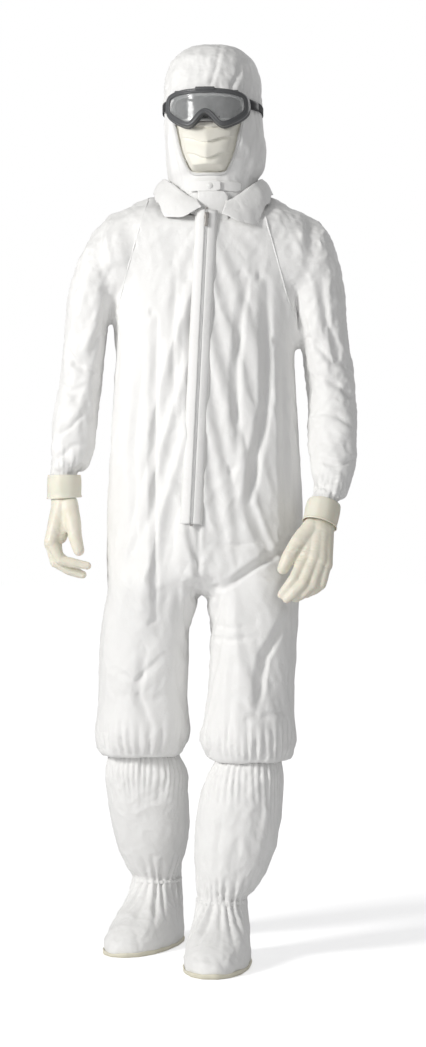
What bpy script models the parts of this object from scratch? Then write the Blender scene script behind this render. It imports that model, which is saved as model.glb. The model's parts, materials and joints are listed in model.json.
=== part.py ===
"""Chemical protective suit: hooded coverall ensemble with goggles, mask, gloves and boot covers.

Metres, +Z up, soles on z = 0. The suit faces -Y, and its wearer's right side is at -X.
It stands hollow, as if worn, with its right foot behind and its left foot forward.
"""

import math

import bmesh
import bpy
from mathutils import Matrix, Vector

# --- driving dimensions -------------------------------------------------------------------
GAP = 0.0003  # between pieces that touch
SEAM = 0.0010  # between cloth pieces that meet at a seam, whose edges slant
CLOTH = 0.0022  # wall of the coverall, hood and boot covers
LATEX = 0.0018  # wall of the gloves
AROUND = 16  # points round a limb or a hood section
LIMB_POWER = 2.2  # superellipse power of a limb section: 2 is an ellipse
TORSO_POWER = 2.4

NECK = Vector((0.018, 0.0, 0.0))  # the head turns on a vertical axis through this point
HEAD_YAW = math.radians(-6)  # the head looks a little towards -X
HOOD_NECK_RADIUS = 0.0895
COLLAR_RADIUS = 0.094
TAB_LOW, TAB_HIGH = 1.5125, 1.5320  # the snap tab at the throat
TAB_WALL = 0.0014
SNAP_ANGLE = math.radians(-4)
SNAP_HEIGHT = 1.5220
SHOULDER_HEIGHT = 1.400
ARMHOLE_X = 0.186  # the armholes lie in the planes x = +-ARMHOLE_X
ARMHOLE_RADIUS = 0.095

# Torso sections: height, centre x, half width, y of the back, forward dip of the section.
TORSO = (
    (0.7415, 0.000, 0.203, 0.128, 0.0),
    (0.82, 0.001, 0.206, 0.132, 0.0),
    (0.90, 0.002, 0.206, 0.130, 0.0),
    (1.00, 0.002, 0.200, 0.124, 0.0),
    (1.10, 0.002, 0.193, 0.122, 0.0),
    (1.20, 0.002, 0.187, 0.124, 0.0),
    (1.26, 0.003, 0.187, 0.126, 0.0),
    (1.32, 0.006, 0.205, 0.128, 0.0),
    (1.38, 0.010, 0.220, 0.126, 0.0),
    (1.44, 0.010, 0.222, 0.120, 0.0),
    (1.475, 0.010, 0.205, 0.115, 0.008),
    (1.497, 0.012, 0.182, 0.110, 0.022),
    (1.510, 0.016, 0.145, 0.106, 0.034),
    (1.517, 0.017, 0.107, 0.104, 0.048),
)

# The zip runs in one straight line down the front.
ZIP_TOP = Vector((0.006, -0.1055, 1.474))
ZIP_BOTTOM = Vector((-0.024, -0.1430, 0.860))
TAPE_WIDTH = 0.010
TAPE_THICKNESS = 0.0009
COIL_WIDTH = 0.0026
COIL_THICKNESS = 0.0020

# Sleeve sections as seen from the front: inner point (x, z), outer point (x, z),
# y of the middle and half depth. x counts outwards from the middle of the suit.
SLEEVE_RIGHT = (
    ((0.192, 1.290), (0.225, 1.458), 0.000, 0.086),
    ((0.192, 1.262), (0.262, 1.385), 0.000, 0.081),
    ((0.193, 1.235), (0.281, 1.310), 0.000, 0.076),
    ((0.197, 1.200), (0.287, 1.220), 0.000, 0.070),
    ((0.203, 1.150), (0.295, 1.150), 0.000, 0.066),
    ((0.212, 1.075), (0.310, 1.075), -0.004, 0.062),
    ((0.216, 1.010), (0.313, 1.010), -0.012, 0.056),
    ((0.236, 0.978), (0.307, 0.974), -0.018, 0.045),
)
SLEEVE_LEFT = (
    ((0.192, 1.290), (0.245, 1.470), 0.000, 0.086),
    ((0.192, 1.262), (0.277, 1.400), 0.000, 0.081),
    ((0.194, 1.235), (0.288, 1.325), 0.000, 0.076),
    ((0.199, 1.200), (0.297, 1.235), -0.002, 0.070),
    ((0.207, 1.150), (0.309, 1.160), -0.008, 0.066),
    ((0.211, 1.075), (0.315, 1.080), -0.028, 0.062),
    ((0.209, 1.005), (0.312, 1.000), -0.060, 0.056),
    ((0.212, 0.945), (0.292, 0.930), -0.092, 0.046),
)
# Wrist: centre at the glove's top edge, direction towards the hand, height of that edge.
WRIST_RIGHT = (Vector((-0.277, -0.022, 0.957)), Vector((0.0, 0.0, -1.0)))
WRIST_LEFT = (Vector((0.2345, -0.112, 0.900)), Vector((-0.217, -0.345, -0.913)))
WRIST_HALF = (0.0285, 0.0320)  # the sleeve's cuff inside the glove, half width and depth
GLOVE_CLEARANCE = 0.0022
GLOVE_CUFF_LENGTH = 0.044
# Hand sections below the cuff: height, centre x, centre y, half width, half depth.
HAND_RIGHT = (
    (0.890, -0.277, -0.024, 0.0290, 0.034),
    (0.865, -0.277, -0.028, 0.0340, 0.043),
    (0.830, -0.276, -0.032, 0.0360, 0.046),
    (0.795, -0.266, -0.034, 0.0380, 0.043),
    (0.768, -0.251, -0.034, 0.0290, 0.034),
    (0.755, -0.238, -0.034, 0.0130, 0.018),
)
HAND_LEFT = (
    (0.838, 0.219, -0.138, 0.0320, 0.031),
    (0.809, 0.209, -0.150, 0.0400, 0.033),
    (0.778, 0.199, -0.160, 0.0480, 0.034),
    (0.752, 0.189, -0.168, 0.0460, 0.032),
    (0.730, 0.178, -0.174, 0.0340, 0.027),
    (0.715, 0.168, -0.178, 0.0150, 0.014),
)

# Leg and boot sections: height, centre x, centre y, half width, half depth.
LEG_RIGHT = (
    (0.7395, -0.1005, -0.010, 0.0990, 0.136),
    (0.66, -0.1190, 0.030, 0.0980, 0.124),
    (0.55, -0.1220, 0.060, 0.1000, 0.114),
    (0.47, -0.1250, 0.082, 0.0970, 0.106),
    (0.43, -0.1290, 0.094, 0.0880, 0.096),
    (0.405, -0.1240, 0.100, 0.0680, 0.077),
    (0.372, -0.1240, 0.102, 0.0650, 0.074),
)
LEG_LEFT = (
    (0.7395, 0.1010, -0.010, 0.0990, 0.136),
    (0.66, 0.1020, -0.014, 0.0950, 0.124),
    (0.55, 0.0950, -0.020, 0.0945, 0.114),
    (0.47, 0.0890, -0.024, 0.0960, 0.106),
    (0.43, 0.0940, -0.028, 0.0830, 0.096),
    (0.405, 0.0895, -0.030, 0.0590, 0.072),
    (0.372, 0.0890, -0.030, 0.0565, 0.069),
)
BOOT_TOP = 0.3965  # lower edge of the elastic at the top of each boot cover
BOOT_RIGHT = (
    (BOOT_TOP, -0.1240, 0.101, 0.0710, 0.081),
    (0.360, -0.1180, 0.106, 0.0900, 0.094),
    (0.300, -0.1140, 0.122, 0.0880, 0.090),
    (0.235, -0.1080, 0.142, 0.0830, 0.084),
    (0.190, -0.1060, 0.156, 0.0710, 0.075),
    (0.155, -0.1030, 0.170, 0.0580, 0.064),
    (0.134, -0.0975, 0.180, 0.0500, 0.056),
)
BOOT_LEFT = (
    (BOOT_TOP, 0.0895, -0.030, 0.0640, 0.078),
    (0.360, 0.0800, -0.032, 0.0830, 0.092),
    (0.300, 0.0705, -0.035, 0.0900, 0.090),
    (0.235, 0.0630, -0.040, 0.0870, 0.087),
    (0.190, 0.0550, -0.043, 0.0790, 0.080),
    (0.150, 0.0455, -0.046, 0.0660, 0.067),
    (0.124, 0.0345, -0.048, 0.0490, 0.054),
)
# Foot sections under the ankle: share of the ankle's height, forward shift,
# half length and half width. The last one stands on the sole.
FOOT = (
    (0.80, 0.012, 0.072, 0.053),
    (0.62, 0.034, 0.100, 0.060),
    (0.42, 0.058, 0.130, 0.064),
    (0.22, 0.070, 0.146, 0.066),
    (0.05, 0.072, 0.146, 0.064),
)
ELASTIC_HEIGHT = 0.008
SOLE_THICKNESS = 0.006
FOOT_YAW_RIGHT = math.radians(-20)  # toes out
FOOT_YAW_LEFT = math.radians(-6)

# Hood sections about the neck axis: height, centre y, half width, half depth.
HOOD = (
    (1.5455, 0.000, 0.0900, 0.0900),
    (1.575, -0.004, 0.0925, 0.1060),
    (1.62, -0.002, 0.0960, 0.1190),
    (1.68, 0.000, 0.0985, 0.1230),
    (1.74, 0.003, 0.0990, 0.1200),
    (1.78, 0.005, 0.0880, 0.1040),
    (1.805, 0.006, 0.0620, 0.0740),
    (1.817, 0.006, 0.0320, 0.0380),
)
HOOD_POWER = 2.2
HOOD_BOTTOM = 1.474
CROWN_HALF_WIDTH = 0.040
# Face opening, right half from the top middle down to the chin: x, z.
FACE_OPENING = (
    (0.000, 1.694),
    (0.050, 1.692),
    (0.066, 1.680),
    (0.066, 1.652),
    (0.060, 1.625),
    (0.052, 1.590),
    (0.040, 1.560),
    (0.028, 1.5495),
    (0.000, 1.5490),
)
BINDING_WIDTH = 0.0035
MASK_TOP = 1.650
MASK_BOTTOM = 1.5525
MASK_WALL = 0.0016
MASK_BINDING_WALL = 0.0012
MASK_BINDING_LIFT = 0.0027
LOOP_RADIUS = 0.0013

# Goggles, right half of the rim from the top middle to the nose: x, z.
GOGGLE_RIM = (
    (0.000, 1.7045),
    (0.045, 1.7035),
    (0.070, 1.6985),
    (0.0805, 1.688),
    (0.0815, 1.664),
    (0.070, 1.648),
    (0.048, 1.634),
    (0.032, 1.630),
    (0.020, 1.637),
    (0.010, 1.648),
    (0.000, 1.6545),
)
GOGGLE_RIM_WIDTH = 0.0095
GOGGLE_FRONT = -0.1560  # y of the rim's front in the middle
GOGGLE_BEND = 0.080  # the rim is bent round the face with this radius
GOGGLE_DEPTH = 0.029
STRAP_HEIGHT = 1.682
STRAP_WIDTH = 0.016
STRAP_THICKNESS = 0.0018
STRAP_HALF = (0.1050, 0.1300)
STRAP_BACK = 0.1285  # the strap is straight where the adjuster slides
STRAP_START = -19.6  # degrees round the hood, where 0 is its side and 90 its back
CLIP_START, CLIP_END = -37, -20
CLIP_HEIGHT = 0.020
CLIP_WALL = 0.0036
RIM_SLOPE = 0.003  # the rim's outer edge lies this far behind its inner edge
RIM_INNER_STEP = 0.004
LENS_MIDDLE = 1.668
LENS_SHARE = (0.975, 0.955)  # the lens as a share of the rim's inner outline
LENS_DEPTH = 0.004
LENS_WALL = 0.0018

WHITE = (0.90, 0.91, 0.92)
IVORY = (0.80, 0.76, 0.64)
CREAM = (0.82, 0.77, 0.60)
GREY = (0.30, 0.31, 0.32)
BLACK = (0.02, 0.02, 0.022)


# --- helpers ------------------------------------------------------------------------------
def clear_scene():
    for item in list(bpy.data.objects):
        bpy.data.objects.remove(item, do_unlink=True)


def make_material(name, colour, roughness, metallic=0.0):
    found = bpy.data.materials.new(name)
    found.use_nodes = True
    shader = found.node_tree.nodes["Principled BSDF"]
    shader.inputs["Base Color"].default_value = (*colour, 1.0)
    shader.inputs["Roughness"].default_value = roughness
    shader.inputs["Metallic"].default_value = metallic
    return found


def add_object(name, bm, colour, roughness=0.7, metallic=0.0, parent=None, origin=None):
    """A scene object from a bmesh whose points are in world or parent coordinates."""
    if origin is not None:
        bmesh.ops.translate(bm, verts=bm.verts, vec=-Vector(origin))
    mesh = bpy.data.meshes.new(name)
    bm.to_mesh(mesh)
    bm.free()
    mesh.shade_smooth()
    mesh.materials.append(make_material(name, colour, roughness, metallic))
    made = bpy.data.objects.new(name, mesh)
    bpy.context.collection.objects.link(made)
    made.parent = parent
    if origin is not None:
        made.location = origin
    return made


def thicken(item, wall):
    """Gives a surface a wall on its inner side."""
    solidify = item.modifiers.new("wall", "SOLIDIFY")
    solidify.thickness = wall
    solidify.offset = -1


def superellipse(angle, half_x, half_y, power):
    """A point of a superellipse, from its angle: 0 is +X and -90 degrees is -Y."""
    c = math.cos(angle)
    s = math.sin(angle)
    x = math.copysign(abs(c) ** (2 / power), c) * half_x
    y = math.copysign(abs(s) ** (2 / power), s) * half_y
    return x, y


def oval(z, centre_x, centre_y, half_x, half_y, power=LIMB_POWER, count=AROUND, yaw=0.0):
    """A closed level ring of points."""
    ring = []
    for i in range(count):
        x, y = superellipse(2 * math.pi * (i + 0.5) / count, half_x, half_y, power)
        turned = Matrix.Rotation(yaw, 3, "Z") @ Vector((x, y, 0))
        ring.append(turned + Vector((centre_x, centre_y, z)))
    return ring


def loft(rings, closed=True, cap_end=False):
    """A surface through rings of points, with its faces pointing outwards."""
    bm = bmesh.new()
    loops = []
    for ring in rings:
        verts = [bm.verts.new(point) for point in ring]
        ends = zip(verts, verts[1:] + verts[:1]) if closed else zip(verts, verts[1:])
        loops.append([bm.edges.new(pair) for pair in ends])
    for first, second in zip(loops, loops[1:]):
        bmesh.ops.bridge_loops(bm, edges=first + second)
    if cap_end:
        bmesh.ops.contextual_create(bm, geom=loops[-1])
    face_outwards(bm)
    return bm


def face_outwards(bm):
    """Turns the faces of an open surface away from its own middle."""
    bmesh.ops.recalc_face_normals(bm, faces=bm.faces)
    middle = sum((v.co for v in bm.verts), Vector()) / len(bm.verts)
    outwards = sum(f.normal.dot(f.calc_center_median() - middle) * f.calc_area() for f in bm.faces)
    if outwards < 0:
        bmesh.ops.reverse_faces(bm, faces=bm.faces)


def closed_loft(rings):
    """A solid through closed profiles, with a flat cap at both ends."""
    bm = bmesh.new()
    loops = []
    for ring in rings:
        verts = [bm.verts.new(point) for point in ring]
        loops.append([bm.edges.new(pair) for pair in zip(verts, verts[1:] + verts[:1])])
    for first, second in zip(loops, loops[1:]):
        bmesh.ops.bridge_loops(bm, edges=first + second)
    bmesh.ops.contextual_create(bm, geom=loops[0])
    bmesh.ops.contextual_create(bm, geom=loops[-1])
    bmesh.ops.recalc_face_normals(bm, faces=bm.faces)
    return bm


def add_box(bm, low, high, bevel=0.0):
    """Adds a box between two corners, with its edges bevelled if asked."""
    low, high = Vector(low), Vector(high)
    size = high - low
    matrix = Matrix.Translation((low + high) / 2) @ Matrix.Diagonal((*size, 1))
    made = bmesh.ops.create_cube(bm, size=1, matrix=matrix)
    if bevel:
        edges = {e for v in made["verts"] for e in v.link_edges}
        bmesh.ops.bevel(
            bm, geom=list(edges), offset=bevel, segments=1, affect="EDGES", profile=0.5, material=-1
        )


def cut_away(item, cutters, operation="DIFFERENCE"):
    """Applies boolean cuts to an object and removes the cutters."""
    for cutter in cutters:
        boolean = item.modifiers.new("cut", "BOOLEAN")
        boolean.operation = operation
        boolean.object = cutter
    bpy.context.view_layer.update()
    graph = bpy.context.evaluated_depsgraph_get()
    cut = bpy.data.meshes.new_from_object(item.evaluated_get(graph))
    item.modifiers.clear()
    item.data = cut
    for cutter in cutters:
        bpy.data.objects.remove(cutter, do_unlink=True)


def add_cutter(bm, parent=None):
    cutter = add_object("cutter", bm, GREY, parent=parent)
    cutter.hide_render = True
    cutter.display_type = "WIRE"
    return cutter


def box_cutter(low, high, parent=None):
    bm = bmesh.new()
    add_box(bm, low, high)
    return add_cutter(bm, parent)


def lerp(a, b, t):
    return a + (b - a) * t


# --- coverall torso -----------------------------------------------------------------------
def front_y(z):
    """The front of the torso, a straight line just behind the zip."""
    t = (ZIP_TOP.z - z) / (ZIP_TOP.z - ZIP_BOTTOM.z)
    return lerp(ZIP_TOP.y, ZIP_BOTTOM.y, t) + COIL_THICKNESS


def zip_x(z):
    t = (ZIP_TOP.z - z) / (ZIP_TOP.z - ZIP_BOTTOM.z)
    return lerp(ZIP_TOP.x, ZIP_BOTTOM.x, min(t, 1.0))


def torso_arc(row, start, end, count):
    """An open arc of one torso section. start and end are angles, or "zip" for its front edge."""
    z, centre_x, half_width, back, dip = row
    front = front_y(z)
    centre_y = (front + back) / 2
    half_depth = (back - front) / 2
    share = (zip_x(z) - centre_x) / half_width
    zip_angle = -math.pi / 2 + math.copysign(abs(share) ** (TORSO_POWER / 2), share)
    arc = []
    for i in range(count + 1):
        first = zip_angle + start[1] if start[0] == "zip" else start[1]
        last = zip_angle + end[1] if end[0] == "zip" else end[1]
        x, y = superellipse(lerp(first, last, i / count), half_width, half_depth, TORSO_POWER)
        arc.append(Vector((centre_x + x, centre_y + y, z + dip * min(y, 0) / half_depth)))
    return arc


def build_torso():
    seam = 0.0016  # half the gap of a seam, as an angle
    zip_gap = 0.022  # half the gap that the zip closes, as an angle
    panels = {
        "front_panel_right": (("at", -math.pi + seam), ("zip", -zip_gap), 7),
        "front_panel_left": (("zip", zip_gap), ("at", -seam), 7),
        "back_panel": (("at", seam), ("at", math.pi - seam), 12),
    }
    for name, (start, end, count) in panels.items():
        rings = [torso_arc(row, start, end, count) for row in TORSO]
        panel = add_object(name, loft(rings, closed=False), WHITE)
        thicken(panel, CLOTH)
        sides = [
            box_cutter((ARMHOLE_X, -0.2, 1.265), (0.3, 0.2, 1.53)),
            box_cutter((-0.3, -0.2, 1.265), (-ARMHOLE_X, 0.2, 1.53)),
        ]
        cut_away(panel, sides)


def build_legs():
    for name, sections in (("leg_right", LEG_RIGHT), ("leg_left", LEG_LEFT)):
        rings = [oval(*row) for row in sections]
        leg = add_object(name, loft(rings), WHITE)
        thicken(leg, CLOTH)


# --- sleeves and gloves -------------------------------------------------------------------
def sleeve_ring(side, inner, outer, y, half_depth):
    """A ring across a sleeve, between its inner and outer points as seen from the front."""
    inner = Vector((side * inner[0], y, inner[1]))
    outer = Vector((side * outer[0], y, outer[1]))
    middle = (inner + outer) / 2
    across = (outer - inner) / 2
    ring = []
    for i in range(AROUND):
        x, depth = superellipse(2 * math.pi * (i + 0.5) / AROUND, 1, half_depth, LIMB_POWER)
        ring.append(middle + across * x + Vector((0, depth, 0)))
    return ring


def wrist_ring(wrist, along, grow=0.0):
    """A level ring round the wrist, at a height below the glove's top edge."""
    top, direction = wrist
    centre = top + direction * (along / -direction.z)
    half_x, half_y = WRIST_HALF
    return oval(centre.z, centre.x, centre.y, half_x + grow, half_y + grow, 2.0)


def build_arm(side_name, side, sections, wrist, hand):
    shoulder = Vector((side * ARMHOLE_X, 0, SHOULDER_HEIGHT))
    armhole = []
    for i in range(AROUND):
        angle = 2 * math.pi * (i + 0.5) / AROUND
        up = math.cos(angle) * ARMHOLE_RADIUS
        along = math.sin(angle) * ARMHOLE_RADIUS
        armhole.append(shoulder + Vector((side * 1.5 * SEAM, along, up)))
    rings = [armhole]
    rings += [sleeve_ring(side, *row) for row in sections]
    rings += [wrist_ring(wrist, -0.006), wrist_ring(wrist, 0.020)]
    sleeve = add_object("sleeve_" + side_name, loft(rings), WHITE, origin=shoulder)
    thicken(sleeve, CLOTH)

    # The elastic is the last ring of the cuff, just past the cloth.
    hem = [wrist_ring(wrist, 0.020 + SEAM), wrist_ring(wrist, 0.028)]
    elastic = add_object(
        "wrist_elastic_" + side_name, loft(hem), WHITE, 0.8, origin=shoulder
    )
    thicken(elastic, CLOTH)

    grow = GLOVE_CLEARANCE + LATEX
    cuff = [wrist_ring(wrist, GLOVE_CUFF_LENGTH * t, grow) for t in (0.0, 0.5, 0.96, 1.0)]
    palm = [oval(*row) for row in hand]
    glove = add_object(
        "glove_" + side_name, loft(cuff + palm, cap_end=True), IVORY, 0.5, origin=wrist[0]
    )
    thicken(glove, LATEX)


# --- collar and its snap tab --------------------------------------------------------------
def from_neck(radius, angle, z):
    """A point round the neck. The angle counts from the front, positive towards +X."""
    return Vector((NECK.x + radius * math.sin(angle), NECK.y - radius * math.cos(angle), z))


def collar_profile(angle):
    """Stand and fold-over leaf, as one thin closed profile at an angle round the neck."""
    frontness = (1 + math.cos(angle)) / 2
    crease = 1.546 - 0.055 * frontness**5
    edge_radius = 0.122 + 0.032 * frontness
    edge_height = crease - 0.042 * frontness**4 - 0.018
    stand_bottom = crease - 0.028
    inner, outer = COLLAR_RADIUS, COLLAR_RADIUS + CLOTH
    points = (
        (inner, stand_bottom),
        (inner, crease),
        (inner + 0.0025, crease + 0.003),
        (edge_radius, edge_height),
        (edge_radius - 0.0025, edge_height - 0.0012),
        (outer + 0.0012, crease - 0.004),
        (outer, stand_bottom),
    )
    return [from_neck(radius, angle, z) for radius, z in points]


def build_collar():
    start, steps = math.radians(13), 12
    for name, side in (("collar_right", -1), ("collar_left", 1)):
        end = math.pi - 0.0020
        angles = [side * lerp(start, end, i / steps) for i in range(steps + 1)]
        add_object(name, closed_loft([collar_profile(a) for a in angles]), WHITE)


def arc_strip(radius, wall, start, end, low, high, steps):
    """A strip of cloth bent round the neck."""
    profiles = []
    for i in range(steps + 1):
        angle = math.radians(lerp(start, end, i / steps))
        corners = ((radius, low), (radius + wall, low), (radius + wall, high), (radius, high))
        profiles.append([from_neck(r, angle, z) for r, z in corners])
    return closed_loft(profiles)


def radial_disc(radius, height, from_radius, angle, z):
    """A short round cylinder that stands on the neck's cylinder."""
    bm = bmesh.new()
    bmesh.ops.create_cone(
        bm, segments=14, radius1=radius, radius2=radius * 0.82, depth=height, cap_ends=True
    )
    outward = from_neck(1, angle, 0) - from_neck(0, angle, 0)
    turn = outward.to_track_quat("Z", "Y").to_matrix().to_4x4()
    place = Matrix.Translation(from_neck(from_radius + height / 2, angle, z))
    bmesh.ops.transform(bm, matrix=place @ turn, verts=bm.verts)
    return bm


def build_snap_tab():
    base = arc_strip(HOOD_NECK_RADIUS + SEAM, TAB_WALL, -9, 38, TAB_LOW, TAB_HIGH, 5)
    add_object("snap_tab_base", base, WHITE)
    stud = radial_disc(0.0035, 0.0016, HOOD_NECK_RADIUS + 0.0027, SNAP_ANGLE, SNAP_HEIGHT)
    add_object("snap_stud", stud, WHITE, 0.4)
    hinge = from_neck(HOOD_NECK_RADIUS + 0.0060, math.radians(-30), TAB_LOW)
    tab = arc_strip(HOOD_NECK_RADIUS + 0.0052, TAB_WALL, -29.5, 9, TAB_LOW, TAB_HIGH, 6)
    add_object("snap_tab", tab, WHITE, origin=hinge)
    cap = radial_disc(0.0055, 0.0020, HOOD_NECK_RADIUS + 0.0070, SNAP_ANGLE, SNAP_HEIGHT)
    add_object("snap_cap", cap, WHITE, 0.35, origin=hinge)


# --- zip ----------------------------------------------------------------------------------
def zip_frame():
    """Local X across the zip, Y into the suit and Z up along it, from its top."""
    up = (ZIP_TOP - ZIP_BOTTOM).normalized()
    across = Vector((1, 0, 0))
    across = (across - up * across.dot(up)).normalized()
    inward = up.cross(across)
    turn = Matrix((across, inward, up)).transposed().to_4x4()
    return Matrix.Translation(ZIP_TOP) @ turn


def build_zip():
    length = (ZIP_TOP - ZIP_BOTTOM).length
    frame = zip_frame()
    centre_gap = 0.00025
    front = -COIL_THICKNESS
    lift = 0.0016  # the tapes stand this far in front of the panels' straight line
    for side_name, side in (("right", -1), ("left", 1)):
        for name, width, thick, start, colour in (
            ("zip_tape_", TAPE_WIDTH, TAPE_THICKNESS, centre_gap, WHITE),
            ("zip_coil_", COIL_WIDTH, COIL_THICKNESS, centre_gap, WHITE),
        ):
            bm = bmesh.new()
            top = -lift if name == "zip_tape_" else -lift - TAPE_THICKNESS - GAP
            xs = sorted((side * start, side * width))
            add_box(bm, (xs[0], top - thick, -length), (xs[1], top, 0))
            made = add_object(name + side_name, bm, colour, 0.6)
            made.matrix_world = frame
    # The slider is a channel that wraps the coils in front and at both sides.
    coil_front = -lift - TAPE_THICKNESS - GAP - COIL_THICKNESS
    half = COIL_WIDTH + GAP + 0.0004
    bm = bmesh.new()
    outline = (
        (-half - 0.0012, coil_front + COIL_THICKNESS - 0.0003),
        (-half - 0.0012, coil_front - 0.0016),
        (half + 0.0012, coil_front - 0.0016),
        (half + 0.0012, coil_front + COIL_THICKNESS - 0.0003),
        (half, coil_front + COIL_THICKNESS - 0.0003),
        (half, coil_front - 0.0004),
        (-half, coil_front - 0.0004),
        (-half, coil_front + COIL_THICKNESS - 0.0003),
    )
    slider_height = 0.011
    profiles = [[Vector((x, y, z)) for x, y in outline] for z in (-slider_height, 0)]
    slider = add_object("zip_slider", closed_loft(profiles), GREY, 0.35, 0.8)
    slider_top = frame @ Matrix.Translation((0, 0, -0.006))
    slider.matrix_world = slider_top
    # The pull hangs from an eye on the slider's front.
    eye_y = coil_front - 0.0016 - GAP - 0.0008
    bm = bmesh.new()
    add_box(bm, (-0.0030, -0.0008, -0.0240), (0.0030, 0.0008, 0.0), bevel=0.0004)
    pull = add_object("zip_pull", bm, GREY, 0.4, 0.6)
    pull.matrix_world = slider_top @ Matrix.Translation((0, eye_y, -0.003))
    for name, z0, z1 in (("zip_top_stop", 0.0006, 0.0036), ("zip_bottom_stop", -0.0040, -0.0006)):
        bm = bmesh.new()
        shift = 0 if name == "zip_top_stop" else -length
        wide = COIL_WIDTH
        add_box(bm, (-wide, coil_front, z0 + shift), (wide, -lift, z1 + shift))
        stop = add_object(name, bm, GREY, 0.4, 0.7)
        stop.matrix_world = frame


# --- boot covers --------------------------------------------------------------------------
def build_boot(side_name, sections, yaw):
    shaft = add_object("boot_shaft_" + side_name, loft([oval(*row) for row in sections]), WHITE)
    thicken(shaft, CLOTH)

    z, x, y, half_x, half_y = sections[0]
    low, high = z + SEAM, z + SEAM + ELASTIC_HEIGHT
    rings = [oval(h, x, y, half_x, half_y) for h in (low, high)]
    band = add_object("boot_top_elastic_" + side_name, loft(rings), WHITE, 0.8)
    thicken(band, CLOTH)

    z, x, y, half_x, half_y = sections[-1]
    low, high = z - SEAM - ELASTIC_HEIGHT, z - SEAM
    rings = [oval(h, x, y, half_x, half_y) for h in (low, high)]
    band = add_object("ankle_elastic_" + side_name, loft(rings), WHITE, 0.8)
    thicken(band, CLOTH)

    ankle = low - SEAM
    forward = Matrix.Rotation(yaw, 3, "Z") @ Vector((0, -1, 0))
    rings = [oval(ankle, x, y, half_x, half_y, yaw=yaw)]
    for share, shift, half_length, half_width in FOOT:
        height = SOLE_THICKNESS + SEAM + (ankle - SOLE_THICKNESS) * (share - FOOT[-1][0])
        centre = Vector((x, y, 0)) + forward * shift
        rings.append(oval(height, centre.x, centre.y, half_width, half_length, yaw=yaw))
    foot = add_object("boot_foot_" + side_name, loft(rings), WHITE)
    thicken(foot, CLOTH)

    _, shift, half_length, half_width = FOOT[-1]
    centre = Vector((x, y, 0)) + forward * shift
    outline = [
        oval(h, centre.x, centre.y, half_width + 0.001, half_length + 0.001, yaw=yaw)
        for h in (0, SOLE_THICKNESS)
    ]
    add_object("boot_sole_" + side_name, closed_loft(outline), CREAM, 0.5)


# --- hood ---------------------------------------------------------------------------------
def hood_front(x, z):
    """y of the hood's front surface at a point, about the neck axis."""
    for low, high in zip(HOOD, HOOD[1:]):
        if z <= high[0]:
            t = max(0.0, (z - low[0]) / (high[0] - low[0]))
            centre, half_x, half_y = (lerp(low[i], high[i], t) for i in (1, 2, 3))
            return centre - half_y * (1 - (abs(x) / half_x) ** HOOD_POWER) ** (1 / HOOD_POWER)
    return 0.0


def mirrored(outline):
    """A closed outline from its right half, which starts and ends in the middle."""
    return list(outline) + [(-x, z) for x, z in reversed(outline[1:-1])]


def whole_hood(name, head):
    rings = [oval(z, 0, y, hx, hy, HOOD_POWER) for z, y, hx, hy in HOOD]
    hood = add_object(name, loft(rings, cap_end=True), WHITE, parent=head)
    thicken(hood, CLOTH)
    return hood


def face_cutter(head):
    outline = mirrored(FACE_OPENING)
    profiles = [[Vector((x, y, z)) for x, z in outline] for y in (-0.2, -0.03)]
    return add_cutter(closed_loft(profiles), head)


def build_hood(head):
    w = CROWN_HALF_WIDTH
    front, chin, top = -0.2, 1.54, 1.9
    brow = FACE_OPENING[0][1] + 0.004
    crown = whole_hood("hood_crown", head)
    cutters = [
        face_cutter(head),
        box_cutter((-0.2, -0.2, chin), (-w, 0.2, top), head),
        box_cutter((w, -0.2, chin), (0.2, 0.2, top), head),
        box_cutter((-0.3, front, chin - 0.01), (0.3, 0.0, brow), head),
    ]
    cut_away(crown, cutters)
    for name, side in (("hood_side_right", -1), ("hood_side_left", 1)):
        half = whole_hood(name, head)
        lows = sorted((-side * 0.2, side * GAP / 2))
        grown = w + GAP
        cutters = [
            face_cutter(head),
            box_cutter((lows[0], -0.2, chin - 0.01), (lows[1], 0.2, top), head),
            box_cutter((-grown, -0.2, brow - GAP), (grown, 0.2, top), head),
            box_cutter((-grown, -GAP, chin - 0.01), (grown, 0.2, top), head),
        ]
        cut_away(half, cutters)
    neck_rings = [
        oval(z, 0, 0, HOOD_NECK_RADIUS, HOOD_NECK_RADIUS, 2.0)
        for z in (HOOD_BOTTOM, 1.51, HOOD[0][0] - SEAM)
    ]
    neck = add_object("hood_neck", loft(neck_rings), WHITE, parent=head)
    thicken(neck, CLOTH)

    # The binding runs round the opening's lower edge, from cheek to cheek.
    half = [p for p in FACE_OPENING if p[1] < 1.63]
    lower = half + [(-x, z) for x, z in reversed(half[:-1])]
    profiles = []
    for x, z in lower:
        out = Vector((x, 0, z - 1.60)).normalized() if z < 1.56 else Vector((math.copysign(1, x), 0, 0))
        near = Vector((x, 0, z)) + out * 0.0012
        far = Vector((x, 0, z)) + out * (0.0012 + BINDING_WIDTH)
        low_y = min(hood_front(near.x, near.z), hood_front(far.x, far.z)) - 0.0022
        corners = ((near, low_y), (far, low_y), (far, low_y - 0.0018), (near, low_y - 0.0018))
        profiles.append([Vector((p.x, y, p.z)) for p, y in corners])
    add_object("hood_face_binding", closed_loft(profiles), WHITE, 0.6, parent=head)


# --- mask ---------------------------------------------------------------------------------
def opening_half_width(z):
    for (x0, z0), (x1, z1) in zip(FACE_OPENING, FACE_OPENING[1:]):
        if z1 <= z <= z0:
            return lerp(x1, x0, (z - z1) / max(z0 - z1, 1e-6))
    return 0.03


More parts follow.
